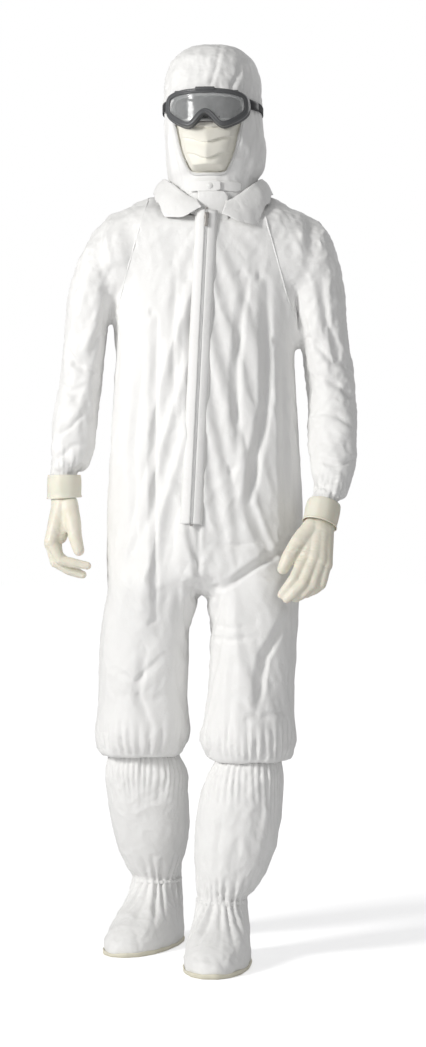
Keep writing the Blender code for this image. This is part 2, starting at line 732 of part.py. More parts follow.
def mask_point(share, z, lift=0.0):
    """A point of the mask: share runs from -1 at its right edge to 1 at its left edge."""
    half = opening_half_width(z) - 0.0025
    bulge = math.sin(math.pi * (z - MASK_BOTTOM + 0.03) / (MASK_TOP - MASK_BOTTOM + 0.05))
    edge, middle = -0.1000, -0.1085 - 0.0300 * bulge
    y = lerp(middle, edge, abs(share) ** 1.7)
    return Vector((share * half, y - lift, z))


def mask_strip(low, high, rows, lift, wall, parent, name, colour):
    shares = [lerp(-1, 1, i / 8) for i in range(9)]
    heights = [lerp(low, high, i / (rows - 1)) for i in range(rows)]
    rings = [[mask_point(s, z, lift) for s in shares] for z in heights]
    strip = add_object(name, loft(rings, closed=False), colour, 0.8, parent=parent)
    thicken(strip, wall)


def build_mask(head):
    mask_strip(MASK_BOTTOM, MASK_TOP, 7, 0.0, MASK_WALL, head, "mask_body", IVORY)
    for name, low, high in (
        ("mask_top_binding", MASK_TOP - 0.006, MASK_TOP),
        ("mask_bottom_binding", MASK_BOTTOM, MASK_BOTTOM + 0.005),
    ):
        mask_strip(low, high, 2, MASK_BINDING_LIFT, MASK_BINDING_WALL, head, name, WHITE)
    shares = [lerp(-0.55, 0.55, i / 6) for i in range(7)]
    profiles = []
    for share in shares:
        z = MASK_TOP - 0.0095
        base = mask_point(share, z, 0.0008)
        corners = ((0, 0), (-0.0009, 0), (-0.0009, 0.0025), (0, 0.0025))
        profiles.append([base + Vector((0, dy, dz)) for dy, dz in corners])
    add_object("mask_nose_wire", closed_loft(profiles), GREY, 0.4, 0.8, parent=head)
    for name, side in (("mask_ear_loop_right", -1), ("mask_ear_loop_left", 1)):
        add_ear_loop(name, side, head)


def add_ear_loop(name, side, head):
    """An elastic cord from the mask's side, back inside the hood and forward again."""
    top = Vector((side * 0.056, -0.094, 1.640))
    bottom = Vector((side * 0.044, -0.092, 1.572))
    reach = Vector((side * 0.080, -0.005, 1.632))
    low_reach = Vector((side * 0.078, -0.004, 1.605))
    curve = bpy.data.curves.new(name, "CURVE")
    curve.dimensions = "3D"
    curve.bevel_depth = LOOP_RADIUS
    curve.bevel_resolution = 2
    curve.use_fill_caps = True
    spline = curve.splines.new("POLY")
    steps = 14
    spline.points.add(steps)
    for i in range(steps + 1):
        t = i / steps
        point = (
            top * (1 - t) ** 3
            + reach * 3 * t * (1 - t) ** 2
            + low_reach * 3 * t**2 * (1 - t)
            + bottom * t**3
        )
        spline.points[i].co = (*point, 1)
    curve.materials.append(make_material(name, WHITE, 0.8))
    loop = bpy.data.objects.new(name, curve)
    bpy.context.collection.objects.link(loop)
    loop.parent = head


# --- goggles ------------------------------------------------------------------------------
def goggle_y(x, depth):
    """y of the goggles at a distance from the middle: depth 0 is the rim's front."""
    return GOGGLE_FRONT + x * x / (2 * GOGGLE_BEND) + depth


def inset_outline(outline, distance):
    """Moves each point of a closed outline inwards, along the mean of its edges' normals."""
    count = len(outline)
    moved = []
    for i, (x, z) in enumerate(outline):
        before, after = Vector(outline[i - 1]), Vector(outline[(i + 1) % count])
        along = (after - before).normalized()
        moved.append((x + distance * along.y, z - distance * along.x))
    return moved


def build_goggles(head):
    rim = mirrored(GOGGLE_RIM)
    inner = inset_outline(rim, GOGGLE_RIM_WIDTH)
    profiles = []
    for (ox, oz), (ix, iz) in zip(rim, inner):
        profiles.append(
            [
                Vector((ox, goggle_y(ox, RIM_SLOPE), oz)),
                Vector((ox, goggle_y(ox, GOGGLE_DEPTH), oz)),
                Vector((ix, goggle_y(ix, GOGGLE_DEPTH - RIM_INNER_STEP), iz)),
                Vector((ix, goggle_y(ix, 0.0), iz)),
            ]
        )
    bm = bmesh.new()
    loops = []
    for ring in profiles:
        verts = [bm.verts.new(point) for point in ring]
        loops.append([bm.edges.new(pair) for pair in zip(verts, verts[1:] + verts[:1])])
    for first, second in zip(loops, loops[1:] + loops[:1]):
        bmesh.ops.bridge_loops(bm, edges=first + second)
    bmesh.ops.recalc_face_normals(bm, faces=bm.faces)
    add_object("goggle_frame", bm, GREY, 0.35, parent=head)

    # The lens closes the rim, a few millimetres behind its front.
    share_x, share_z = LENS_SHARE
    lens_outline = [(x * share_x, lerp(LENS_MIDDLE, z, share_z)) for x, z in inner]
    add_lens(lens_outline, head)

    for name, side in (("goggle_clip_right", -1), ("goggle_clip_left", 1)):
        clip = strap_band(side, CLIP_START, CLIP_END, CLIP_HEIGHT, CLIP_WALL, 3)
        add_object(name, clip, BLACK, 0.4, parent=head)
    build_strap(head)


def add_lens(outline, head):
    """A curved pane cut from a bent sheet by the lens outline."""
    half_width = max(x for x, _ in outline) + 0.01
    low = min(z for _, z in outline) - 0.01
    high = max(z for _, z in outline) + 0.01
    steps = 10
    rings = []
    for z in (low, high):
        xs = [lerp(-half_width, half_width, i / steps) for i in range(steps + 1)]
        rings.append([Vector((x, goggle_y(x, LENS_DEPTH), z)) for x in xs])
    bm = loft(rings, closed=False)
    lens = add_object("goggle_lens", bm, (0.85, 0.88, 0.9), 0.05, parent=head)
    thicken(lens, LENS_WALL)
    profiles = [[Vector((x, y, z)) for x, z in outline] for y in (-0.3, 0.0)]
    cut_away(lens, [add_cutter(closed_loft(profiles), head)], "INTERSECT")


def strap_path(angle):
    x, y = superellipse(angle, STRAP_HALF[0], STRAP_HALF[1], HOOD_POWER)
    return x, min(y, STRAP_BACK)


def strap_band(side, start, end, height, wall, steps):
    """A band round the hood between two angles, in degrees: -90 is the front and 90 the back."""
    profiles = []
    for i in range(steps + 1):
        angle = math.radians(lerp(start, end, i / steps))
        x, y = strap_path(angle)
        outward = Vector((x / STRAP_HALF[0] ** 2, y / STRAP_HALF[1] ** 2, 0)).normalized()
        if y >= STRAP_BACK:
            outward = Vector((0, 1, 0))
        centre = Vector((x, y, STRAP_HEIGHT))
        corners = ((-1, -1), (1, -1), (1, 1), (-1, 1))
        profiles.append(
            [centre + outward * a * wall / 2 + Vector((0, 0, b * height / 2)) for a, b in corners]
        )
    for ring in profiles:
        for point in ring:
            point.x *= side
    return closed_loft(profiles)


def build_strap(head):
    strap = strap_band(1, STRAP_START, 180 - STRAP_START, STRAP_WIDTH, STRAP_THICKNESS, 24)
    add_object("goggle_strap", strap, BLACK, 0.7, parent=head)
    # A flat buckle round the strap's straight stretch at the back.
    reach, slot = 0.009, STRAP_WIDTH / 2 + 0.0006
    wall = STRAP_THICKNESS / 2 + 0.0006
    outline = (
        (-wall - 0.0016, -slot - 0.003),
        (wall + 0.0016, -slot - 0.003),
        (wall + 0.0016, slot + 0.003),
        (-wall - 0.0016, slot + 0.003),
    )
    hole = ((-wall, -slot), (wall, -slot), (wall, slot), (-wall, slot))
    bm = bmesh.new()
    place = Vector((0, STRAP_BACK, STRAP_HEIGHT))
    loops = []
    for shape, x in ((outline, -reach), (outline, reach), (hole, reach), (hole, -reach)):
        verts = [bm.verts.new(Vector((x, y, z))) for y, z in shape]
        loops.append([bm.edges.new(pair) for pair in zip(verts, verts[1:] + verts[:1])])
    for first, second in zip(loops, loops[1:] + loops[:1]):
        bmesh.ops.bridge_loops(bm, edges=first + second)
    bmesh.ops.recalc_face_normals(bm, faces=bm.faces)
    buckle = add_object("strap_adjuster", bm, BLACK, 0.4, parent=head)
    buckle.location = place


# --- assembly -----------------------------------------------------------------------------
def main():
    clear_scene()
    build_torso()
    build_legs()
    build_arm("right", -1, SLEEVE_RIGHT, WRIST_RIGHT, HAND_RIGHT)
    build_arm("left", 1, SLEEVE_LEFT, WRIST_LEFT, HAND_LEFT)
    build_collar()
    build_snap_tab()
    build_zip()
    build_boot("right", BOOT_RIGHT, FOOT_YAW_RIGHT)
    build_boot("left", BOOT_LEFT, FOOT_YAW_LEFT)
    head = bpy.data.objects.new("head_pivot", None)
    bpy.context.collection.objects.link(head)
    head.location = NECK
    head.rotation_euler = (0, 0, HEAD_YAW)
    bpy.context.view_layer.update()
    build_hood(head)
    build_mask(head)
    build_goggles(head)


main()
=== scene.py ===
# %% [markdown]
# # Chemical protective suit
# This lesson dresses a plain engineering model of a protective suit. The engineering model gives
# every place and size; the cells below make the cloth, latex, vinyl and clear plastic around it.
# The suit faces -Y and its wearer's left side is at +X.

# %% Load the engineering model
import json
import math

import bmesh
import bpy
import numpy as np
from mathutils import Matrix, Vector, noise
from mathutils.bvhtree import BVHTree
from mathutils.kdtree import KDTree


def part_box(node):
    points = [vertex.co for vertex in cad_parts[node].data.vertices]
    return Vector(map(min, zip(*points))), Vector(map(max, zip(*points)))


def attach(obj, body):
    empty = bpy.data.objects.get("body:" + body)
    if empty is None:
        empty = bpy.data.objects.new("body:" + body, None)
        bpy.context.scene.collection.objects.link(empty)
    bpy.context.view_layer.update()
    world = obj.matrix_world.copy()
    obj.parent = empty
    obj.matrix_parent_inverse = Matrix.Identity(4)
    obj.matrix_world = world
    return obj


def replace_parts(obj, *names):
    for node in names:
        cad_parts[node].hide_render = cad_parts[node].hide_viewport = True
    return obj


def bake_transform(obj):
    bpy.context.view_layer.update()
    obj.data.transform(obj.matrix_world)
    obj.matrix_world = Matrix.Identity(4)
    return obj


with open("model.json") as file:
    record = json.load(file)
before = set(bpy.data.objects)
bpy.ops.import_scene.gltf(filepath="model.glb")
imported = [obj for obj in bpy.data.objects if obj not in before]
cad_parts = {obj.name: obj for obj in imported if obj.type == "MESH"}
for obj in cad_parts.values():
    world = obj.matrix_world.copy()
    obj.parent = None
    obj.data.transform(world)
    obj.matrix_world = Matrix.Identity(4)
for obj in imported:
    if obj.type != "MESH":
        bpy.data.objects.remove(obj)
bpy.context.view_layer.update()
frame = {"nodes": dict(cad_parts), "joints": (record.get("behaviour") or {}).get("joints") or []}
joints = {j["name"]: j for j in frame["joints"]}

# %% [markdown]
# The head looks a little to one side, so everything on it is first made facing straight ahead
# and then turned with one matrix. The turn is read from the joint that lets the goggles come off.

# %% Frame of the head
neck = Vector(joints["head_turn"]["pos_m"])
neck.z = 0.0
ahead = Vector(joints["goggles_pull"]["axis"])
head_yaw = math.atan2(ahead.x, -ahead.y)
head_place = Matrix.Translation(neck) @ Matrix.Rotation(head_yaw, 4, "Z")
print("head turned by", round(math.degrees(head_yaw), 1), "degrees")

# %% [markdown]
# ## Small helpers
# A bmesh is Blender's editable mesh in memory. One helper turns it into an object, and one
# rounds an object off with a subdivision surface.


# %% Object helpers
def make_object(name, bm, material=None, place=None, smooth=True):
    if place is not None:
        bmesh.ops.transform(bm, matrix=place, verts=bm.verts)
    mesh = bpy.data.meshes.new(name)
    bm.to_mesh(mesh)
    bm.free()
    if smooth:
        mesh.shade_smooth()
    made = bpy.data.objects.new(name, mesh)
    bpy.context.collection.objects.link(made)
    if material is not None:
        mesh.materials.append(material)
    return made


def subdivide(item, levels=1):
    surface = item.modifiers.new("rounding", "SUBSURF")
    surface.levels = levels
    surface.render_levels = levels


def bake_modifiers(item):
    """Replaces an object's mesh with what its modifiers make of it."""
    graph = bpy.context.evaluated_depsgraph_get()
    baked = bpy.data.meshes.new_from_object(item.evaluated_get(graph))
    item.modifiers.clear()
    if item.data.shape_keys:
        item.shape_key_clear()
    old = item.data
    item.data = baked
    bpy.data.meshes.remove(old)


def smoothstep(low, high, value):
    t = min(max((value - low) / (high - low), 0.0), 1.0)
    return t * t * (3 - 2 * t)


def lerp(a, b, t):
    return a + (b - a) * t


def loft(rings, closed=True, cap_start=False, cap_end=False, joined=False):
    """A bmesh through rings of points, bridged one after the other."""
    bm = bmesh.new()
    loops = []
    for ring in rings:
        verts = [bm.verts.new(point) for point in ring]
        pairs = list(zip(verts, verts[1:]))
        if closed:
            pairs.append((verts[-1], verts[0]))
        loops.append([bm.edges.new(pair) for pair in pairs])
    followers = loops[1:] + loops[:1] if joined else loops[1:]
    for first, second in zip(loops, followers):
        bmesh.ops.bridge_loops(bm, edges=first + second)
    if cap_start:
        bmesh.ops.contextual_create(bm, geom=loops[0])
    if cap_end:
        bmesh.ops.contextual_create(bm, geom=loops[-1])
    bmesh.ops.recalc_face_normals(bm, faces=bm.faces)
    return bm


def smooth_curve(points, count, closed=False):
    """Evenly counted points on a smooth curve through some given points."""
    points = [Vector(p) for p in points]
    spans = len(points) if closed else len(points) - 1
    made = []
    for i in range(count):
        at = i * spans / (count if closed else count - 1)
        k = min(int(at), spans - 1)
        t = at - k
        if closed:
            p0, p1, p2, p3 = (points[(k + j) % len(points)] for j in (-1, 0, 1, 2))
        else:
            p1, p2 = points[k], points[k + 1]
            p0 = points[k - 1] if k else p1 * 2 - p2
            p3 = points[k + 2] if k + 2 < len(points) else p2 * 2 - p1
        made.append(
            (
                p1 * 2
                + (p2 - p0) * t
                + (p0 * 2 - p1 * 5 + p2 * 4 - p3) * t * t
                + (p1 * 3 - p0 - p2 * 3 + p3) * t**3
            )
            / 2
        )
    return made


def tube(path, radius, sides=10, closed=False, flat=1.0, out=None):
    """A tube along a path. flat squeezes its section along the direction out gives."""
    rings = []
    count = len(path)
    for i, point in enumerate(path):
        before = path[i - 1] if i or closed else path[0]
        after = path[(i + 1) % count] if i + 1 < count or closed else path[-1]
        along = (after - before).normalized()
        side = (out(point) if out else Vector((0, 0, 1))).normalized()
        side = (side - along * side.dot(along)).normalized()
        other = along.cross(side)
        size = radius(i / count) if callable(radius) else radius
        ring = []
        for j in range(sides):
            angle = 2 * math.pi * j / sides
            ring.append(point + side * math.cos(angle) * size * flat + other * math.sin(angle) * size)
        rings.append(ring)
    return loft(rings, joined=closed, cap_start=not closed, cap_end=not closed)


# %% [markdown]
# ## Camera, floor and light
# The camera stands level, about half the suit's height above the floor and five metres in front
# of it, with a long lens. A large soft light on the left models the folds; a dim one on the right
# keeps the shadow side readable.

# %% Camera
CAMERA_DISTANCE = 5.0
CAMERA_HEIGHT = 0.8615
FOCAL_SHARE = 2.3964  # focal length as a share of the picture's height
SENSOR = 36.0
camera_data = bpy.data.cameras.new("camera")
camera_data.sensor_width = SENSOR
camera_data.lens = FOCAL_SHARE * SENSOR
camera = bpy.data.objects.new("camera", camera_data)
camera.location = (neck.x, -CAMERA_DISTANCE, CAMERA_HEIGHT)
camera.rotation_euler = (math.pi / 2, 0, 0)
bpy.context.collection.objects.link(camera)
bpy.context.scene.camera = camera


# %% Lights, world and floor
AMBIENT = 0.33  # light from all round, seen only in the shadows
BACKDROP = 1.0
bpy.context.scene.view_settings.view_transform = "Standard"


def add_area_light(name, place, target, size, watts, colour=(1, 1, 1)):
    data = bpy.data.lights.new(name, "AREA")
    data.shape = "RECTANGLE"
    data.size, data.size_y = size
    data.energy = watts
    data.color = colour
    light = bpy.data.objects.new(name, data)
    light.location = place
    light.rotation_euler = (Vector(target) - Vector(place)).to_track_quat("-Z", "Y").to_euler()
    bpy.context.collection.objects.link(light)


add_area_light("key_light", (-3.4, -2.8, 2.6), (0, 0, 1.0), (0.9, 1.3), 150, (1.0, 0.992, 0.975))
add_area_light("fill_light", (1.6, -4.2, 1.6), (0, 0, 0.9), (2.0, 2.4), 14)
add_area_light("back_light", (1.6, 2.4, 2.8), (0, 0, 1.0), (1.6, 2.0), 14)

world = bpy.data.worlds.new("studio")
bpy.context.scene.world = world
world.use_nodes = True
sky = world.node_tree.nodes
sky["Background"].inputs["Strength"].default_value = AMBIENT
backdrop = sky.new("ShaderNodeBackground")
backdrop.inputs["Strength"].default_value = BACKDROP
seen = sky.new("ShaderNodeLightPath")
blend_sky = sky.new("ShaderNodeMixShader")
for background in (sky["Background"], backdrop):
    background.inputs["Color"].default_value = (1.0, 1.0, 1.0, 1.0)
join_sky = world.node_tree.links.new
join_sky(seen.outputs["Is Camera Ray"], blend_sky.inputs[0])
join_sky(sky["Background"].outputs[0], blend_sky.inputs[1])
join_sky(backdrop.outputs[0], blend_sky.inputs[2])
join_sky(blend_sky.outputs[0], sky["World Output"].inputs[0])

FLOOR_SIZE = 60.0
bm = bmesh.new()
bmesh.ops.create_grid(bm, x_segments=1, y_segments=1, size=FLOOR_SIZE / 2)
floor_object = make_object("floor", bm, smooth=False)


# %% [markdown]
# ## Shader helper
# Procedural materials are sums of small patterns. Wrapping a socket in a class lets the sums be
# written as ordinary Python expressions.


# %% Shader expressions
class Socket:
    """A node socket that adds Math nodes when it is used in an expression."""

    def __init__(self, maker, link):
        self.maker = maker
        self.link = link

    def _math(self, operation, first, second):
        return self.maker.node(
            "ShaderNodeMath", {"operation": operation}, {0: first, 1: second}
        )

    def __add__(self, other):
        return self._math("ADD", self, other)

    def __radd__(self, other):
        return self._math("ADD", other, self)

    def __sub__(self, other):
        return self._math("SUBTRACT", self, other)

    def __rsub__(self, other):
        return self._math("SUBTRACT", other, self)

    def __mul__(self, other):
        return self._math("MULTIPLY", self, other)

    def __rmul__(self, other):
        return self._math("MULTIPLY", other, self)

    def power(self, other):
        return self._math("POWER", self, other)


class MaterialMaker:
    """One material and the nodes that feed its Principled shader."""

    def __init__(self, name, colour, roughness, **fixed):
        self.material = bpy.data.materials.new(name)
        self.material.use_nodes = True
        self.tree = self.material.node_tree
        self.shader = self.tree.nodes["Principled BSDF"]
        self.shader.inputs["Base Color"].default_value = (*colour, 1)
        self.shader.inputs["Roughness"].default_value = roughness
        for socket, value in fixed.items():
            self.shader.inputs[socket.replace("_", " ")].default_value = value

    def node(self, kind, settings=None, inputs=None, output=0):
        made = self.tree.nodes.new(kind)
        for key, value in (settings or {}).items():
            if key == "stops":
                ramp = made.color_ramp
                for stop, (position, colour) in zip(ramp.elements, value):
                    stop.position = position
                    stop.color = (*colour, 1)
                for position, colour in value[2:]:
                    ramp.elements.new(position).color = (*colour, 1)
            else:
                setattr(made, key, value)
        for key, value in (inputs or {}).items():
            self.join(made.inputs[key], value)
        return Socket(self, made.outputs[output])

    def join(self, target, value):
        if isinstance(value, Socket):
            self.tree.links.new(value.link, target)
        else:
            target.default_value = value

    def coordinates(self, scale=(1, 1, 1)):
        place = self.node("ShaderNodeTexCoord", output=3)
        return self.node("ShaderNodeMapping", {}, {"Vector": place, "Scale": scale})

    def noise(self, scale, detail=3.0, rough=0.5, stretch=(1, 1, 1)):
        return self.node(
            "ShaderNodeTexNoise",
            {},
            {
                "Vector": self.coordinates(stretch),
                "Scale": scale,
                "Detail": detail,
                "Roughness": rough,
            },
        )

    def cells(self, scale, stretch=(1, 1, 1), feature="F1"):
        return self.node(
            "ShaderNodeTexVoronoi",
            {"feature": feature},
            {"Vector": self.coordinates(stretch), "Scale": scale},
        )

    def mix(self, factor, first, second):
        made = self.tree.nodes.new("ShaderNodeMix")
        made.data_type = "RGBA"
        self.join(made.inputs["Factor"], factor)
        for key, value in (("A", first), ("B", second)):
            socket = [s for s in made.inputs if s.name == key and s.type == "RGBA"][0]
            self.join(socket, value if isinstance(value, Socket) else (*value, 1))
        result = [s for s in made.outputs if s.type == "RGBA"][0]
        return Socket(self, result)

    def set(self, **inputs):
        for key, value in inputs.items():
            self.join(self.shader.inputs[key.replace("_", " ")], value)

    def bump(self, height, strength, distance):
        made = self.node(
            "ShaderNodeBump", {}, {"Strength": strength, "Distance": distance, "Height": height}
        )
        self.set(Normal=made)


# %% [markdown]
# ## Materials
# The suit is a white nonwoven laminate: matt, faintly mottled where its fibres bunch, and full of
# tiny hard creases because it is stiff and thin. Creases come from three sizes of noise, the
# largest sharpened so that it has ridges like crushed paper.


# %% Suit cloth
def suit_cloth(name, colour=(0.865, 0.862, 0.852), crease=1.0):
    maker = MaterialMaker(name, colour, 0.62)
    crush = maker.noise(26, 3.0, 0.55)
    ridge = (crush - 0.5).power(2) * -1
    fibres = maker.noise(620, 2.0, 0.6, (1, 1, 0.6))
    dots = maker.cells(420)
    shade = maker.noise(9, 4.0, 0.6)
    tint = maker.node(
        "ShaderNodeValToRGB",
        {"stops": [(0.3, tuple(c * 0.965 for c in colour)), (0.7, colour)]},
        {0: shade},
    )
    maker.set(Base_Color=tint)
    maker.set(Roughness=0.56 + fibres * 0.14)
    maker.bump(ridge * 2.2 * crease + fibres * 0.02 + dots * 0.012, 0.8, 0.006)
    return maker.material


cloth_material = suit_cloth("suit_fabric")
hood_material = suit_cloth("hood_fabric", (0.870, 0.867, 0.857), 0.8)


# %% Other finishes
def latex_rubber():
    maker = MaterialMaker("latex", (0.80, 0.765, 0.66), 0.42)
    maker.set(Subsurface_Weight=0.12)
    maker.shader.inputs["Subsurface Scale"].default_value = 0.01
    folds = maker.noise(60, 3.0, 0.6, (1, 1, 1.6))
    grain = maker.cells(900)
    mottle = maker.noise(18, 3.0)
    maker.set(Base_Color=maker.mix(mottle, (0.74, 0.70, 0.58), (0.84, 0.81, 0.71)))
    maker.set(Roughness=0.36 + folds * 0.2)
    maker.bump((folds - 0.5).power(2) * -1.4 + grain * 0.03, 0.5, 0.003)
    return maker.material


def sole_vinyl():
    maker = MaterialMaker("sole_vinyl", (0.78, 0.74, 0.60), 0.5)
    pores = maker.cells(500)
    stain = maker.noise(30, 3.0)
    maker.set(Base_Color=maker.mix(stain, (0.70, 0.66, 0.52), (0.82, 0.79, 0.67)))
    maker.bump(pores * 0.2 + stain * 0.3, 0.5, 0.002)
    return maker.material


def moulded_plastic(name, colour, roughness, grain_scale=700, **fixed):
    maker = MaterialMaker(name, colour, roughness, **fixed)
    grain = maker.noise(grain_scale, 2.0)
    wear = maker.noise(40, 3.0)
    maker.set(Base_Color=maker.mix(wear, tuple(c * 0.86 for c in colour), colour))
    maker.set(Roughness=roughness - 0.08 + grain * 0.16)
    maker.bump(grain, 0.18, 0.0006)
    return maker.material


def clear_lens():
    maker = MaterialMaker("goggle_lens", (0.92, 0.94, 0.95), 0.06)
    maker.shader.inputs["Transmission Weight"].default_value = 0.0
    maker.shader.inputs["Alpha"].default_value = 0.15
    maker.shader.inputs["Specular IOR Level"].default_value = 0.8
    haze = maker.noise(35, 4.0)
    maker.set(Roughness=0.05 + haze * 0.1)
    return maker.material


def woven_band(name, colour, threads, stretch=(1, 1, 1)):
    maker = MaterialMaker(name, colour, 0.8)
    across = maker.node(
        "ShaderNodeTexWave",
        {"wave_type": "BANDS", "bands_direction": "Z"},
        {"Vector": maker.coordinates(stretch), "Scale": threads, "Distortion": 0.3},
        1,
    )
    speck = maker.noise(900, 2.0)
    maker.set(Base_Color=maker.mix(across, tuple(c * 0.75 for c in colour), colour))
    maker.bump(across * 0.6 + speck * 0.4, 0.5, 0.0008)
    return maker.material


def mask_cloth():
    maker = MaterialMaker("mask_nonwoven", (0.86, 0.84, 0.76), 0.85)
    fluff = maker.noise(480, 3.0, 0.7)
    cloud = maker.noise(45, 3.0)
    maker.set(Base_Color=maker.mix(cloud, (0.82, 0.79, 0.70), (0.89, 0.875, 0.80)))
    maker.bump(fluff * 0.5 + cloud * 0.5, 0.45, 0.001)
    return maker.material


def zip_metal():
    maker = MaterialMaker("zip_metal", (0.42, 0.40, 0.38), 0.38, Metallic=0.85)
    scuff = maker.noise(300, 3.0)
    maker.set(Roughness=0.3 + scuff * 0.25)
    maker.bump(scuff, 0.2, 0.0003)
    return maker.material


latex_material = latex_rubber()
sole_material = sole_vinyl()
rim_material = moulded_plastic("goggle_rim", (0.105, 0.108, 0.112), 0.32)
black_material = moulded_plastic("black_plastic", (0.02, 0.02, 0.022), 0.38)
snap_material = moulded_plastic("snap_plastic", (0.86, 0.86, 0.85), 0.3)
coil_material = moulded_plastic("zip_coil", (0.93, 0.93, 0.92), 0.4)
lens_material = clear_lens()
strap_material = woven_band("strap_elastic", (0.03, 0.03, 0.033), 190)
tape_material = woven_band("zip_tape", (0.93, 0.935, 0.94), 420)
elastic_material = woven_band("white_elastic", (0.85, 0.85, 0.84), 260)
mask_material = mask_cloth()
edge_material = woven_band("mask_edge", (0.90, 0.90, 0.88), 330)
wire_material = zip_metal()

floor_maker = MaterialMaker("floor_paint", (0.86, 0.86, 0.87), 0.7)
from_feet = floor_maker.node(
    "ShaderNodeVectorMath", {"operation": "LENGTH"}, {0: floor_maker.coordinates()}, 1
)
far_glow = floor_maker.node(
    "ShaderNodeMapRange",
    {"interpolation_type": "SMOOTHSTEP"},
    {"Value": from_feet, "From Min": 0.5, "From Max": 3.0, "To Min": 0.66, "To Max": 1.0},
)
floor_maker.set(Emission_Color=floor_maker.node("ShaderNodeLightPath") * far_glow)
floor_maker.shader.inputs["Emission Strength"].default_value = 0.74
floor_object.data.materials.append(floor_maker.material)


# %% [markdown]
# ## Reading the shape of the engineering model
# The plain solids are thin shells. Shooting rays at them from outside, in a fan round the middle
# of a section, gives the outline of that section. A stack of outlines is enough to rebuild each
# limb as a smooth closed form.


# %% Outlines by rays
def shell_tree(*nodes):
    """A ray-casting tree of one or more engineering solids."""
    bm = bmesh.new()
    for node in nodes:
        bm.from_mesh(frame["nodes"][node].data)
    tree = BVHTree.FromBMesh(bm)
    bm.free()
    return tree


RAY_REACH = 0.40


def distance_out(tree, centre, direction):
    """How far the solid's outside is from a centre, or None where there is a hole."""
    start = centre + direction * RAY_REACH
    hit = tree.ray_cast(start, -direction, RAY_REACH)
    return None if hit[0] is None else (hit[0] - centre).length


def recentre(tree, centre, u, v):
    """Moves a centre to the middle of its section."""
    for axis in (u, v, u, v):
        there = distance_out(tree, centre, axis)
        back = distance_out(tree, centre, -axis)
        if there is not None and back is not None:
            centre = centre + axis * (there - back) / 2
    return centre


def outline(tree, centre, u, v, count, grow=0.0):
    """A ring of points round a section. Holes are bridged from their two sides."""
    reach = []
    for i in range(count):
        angle = 2 * math.pi * i / count
        direction = (u * math.cos(angle) + v * math.sin(angle)).normalized()
        reach.append((direction, distance_out(tree, centre, direction)))
    known = [i for i, (_, r) in enumerate(reach) if r is not None]
    ring = []
    for i, (direction, r) in enumerate(reach):
        if r is None:
            before = max((k for k in known if k < i), default=known[-1] - count)
            after = min((k for k in known if k > i), default=known[0] + count)
            t = (i - before) / (after - before)
            a = centre + reach[before % count][0] * reach[before % count][1]
            b = centre + reach[after % count][0] * reach[after % count][1]
            point = a.lerp(b, t)
            ring.append(point + (point - centre).normalized() * grow)
        else:
            ring.append(centre + direction * (r + grow))
    return ring


X, Y, Z = Vector((1, 0, 0)), Vector((0, 1, 0)), Vector((0, 0, 1))


def level_outlines(nodes, heights, start, count, grow=0.0, u=X, v=Y):
    """Outlines of level sections, one under the other, following the limb's own middle."""
    tree = shell_tree(*nodes)
    centre = Vector(start)
    rings = []
    for z in heights:
        centre = Vector((centre.x, centre.y, z))
        centre = recentre(tree, centre, u, v)
        rings.append(outline(tree, centre, u, v, count, grow))
    return rings


def spread(low, high, steps):
    return [lerp(low, high, i / (steps - 1)) for i in range(steps)]


# %% [markdown]
# ## The coverall's skin
# The coverall is one continuous skin: trunk, two legs and two sleeves. Separate closed forms for
# each are joined, and a voxel remesh melts them together at the crotch and the armholes. Then the
# neck, the cuffs and the hems are cut open.

# %% Closed forms of trunk, legs and sleeves
COVERALL_VOXEL = 0.0085
INSET = -0.004
RING = 64
panels = ("front_panel_right", "front_panel_left", "back_panel")
waist_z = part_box("back_panel")[0][2]
neck_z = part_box("back_panel")[1][2]
shoulder = Vector(joints["shoulder_right"]["pos_m"])
armhole_x = abs(shoulder.x)


ZIP_TOP = Vector((0.006, -0.1055, 1.474))
ZIP_FOOT = Vector((-0.024, -0.1430, 0.860))


def zip_x(z):
    return lerp(ZIP_TOP.x, ZIP_FOOT.x, (ZIP_TOP.z - z) / (ZIP_TOP.z - ZIP_FOOT.z))


def trunk_form():
    """The trunk, let in a little all round but not at the zip."""
    heights = spread(neck_z - 0.004, waist_z + 0.004, 30)
    rings = level_outlines(panels, heights, (0.0, 0.0, 0.0), RING, INSET)
    for ring in rings:
        for point in ring:
            if point.y < -0.05:
                near = 1 - smoothstep(0.012, 0.035, abs(point.x - zip_x(point.z)))
                point.y += INSET * near
    return loft(rings, cap_start=True, cap_end=True)


def leg_form(side_name):
    low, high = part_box("leg_" + side_name)
    top = [(low[0] + high[0]) / 2, (low[1] + high[1]) / 2, 0]
    heights = spread(low[2] + 0.002, high[2] - 0.004, 22)
    rings = level_outlines(["leg_" + side_name], heights, top, RING, INSET)
    last = rings[-1]
    rings.append([p + Vector((0, 0, 0.03)) for p in last])
    return loft(rings, cap_start=True, cap_end=True)


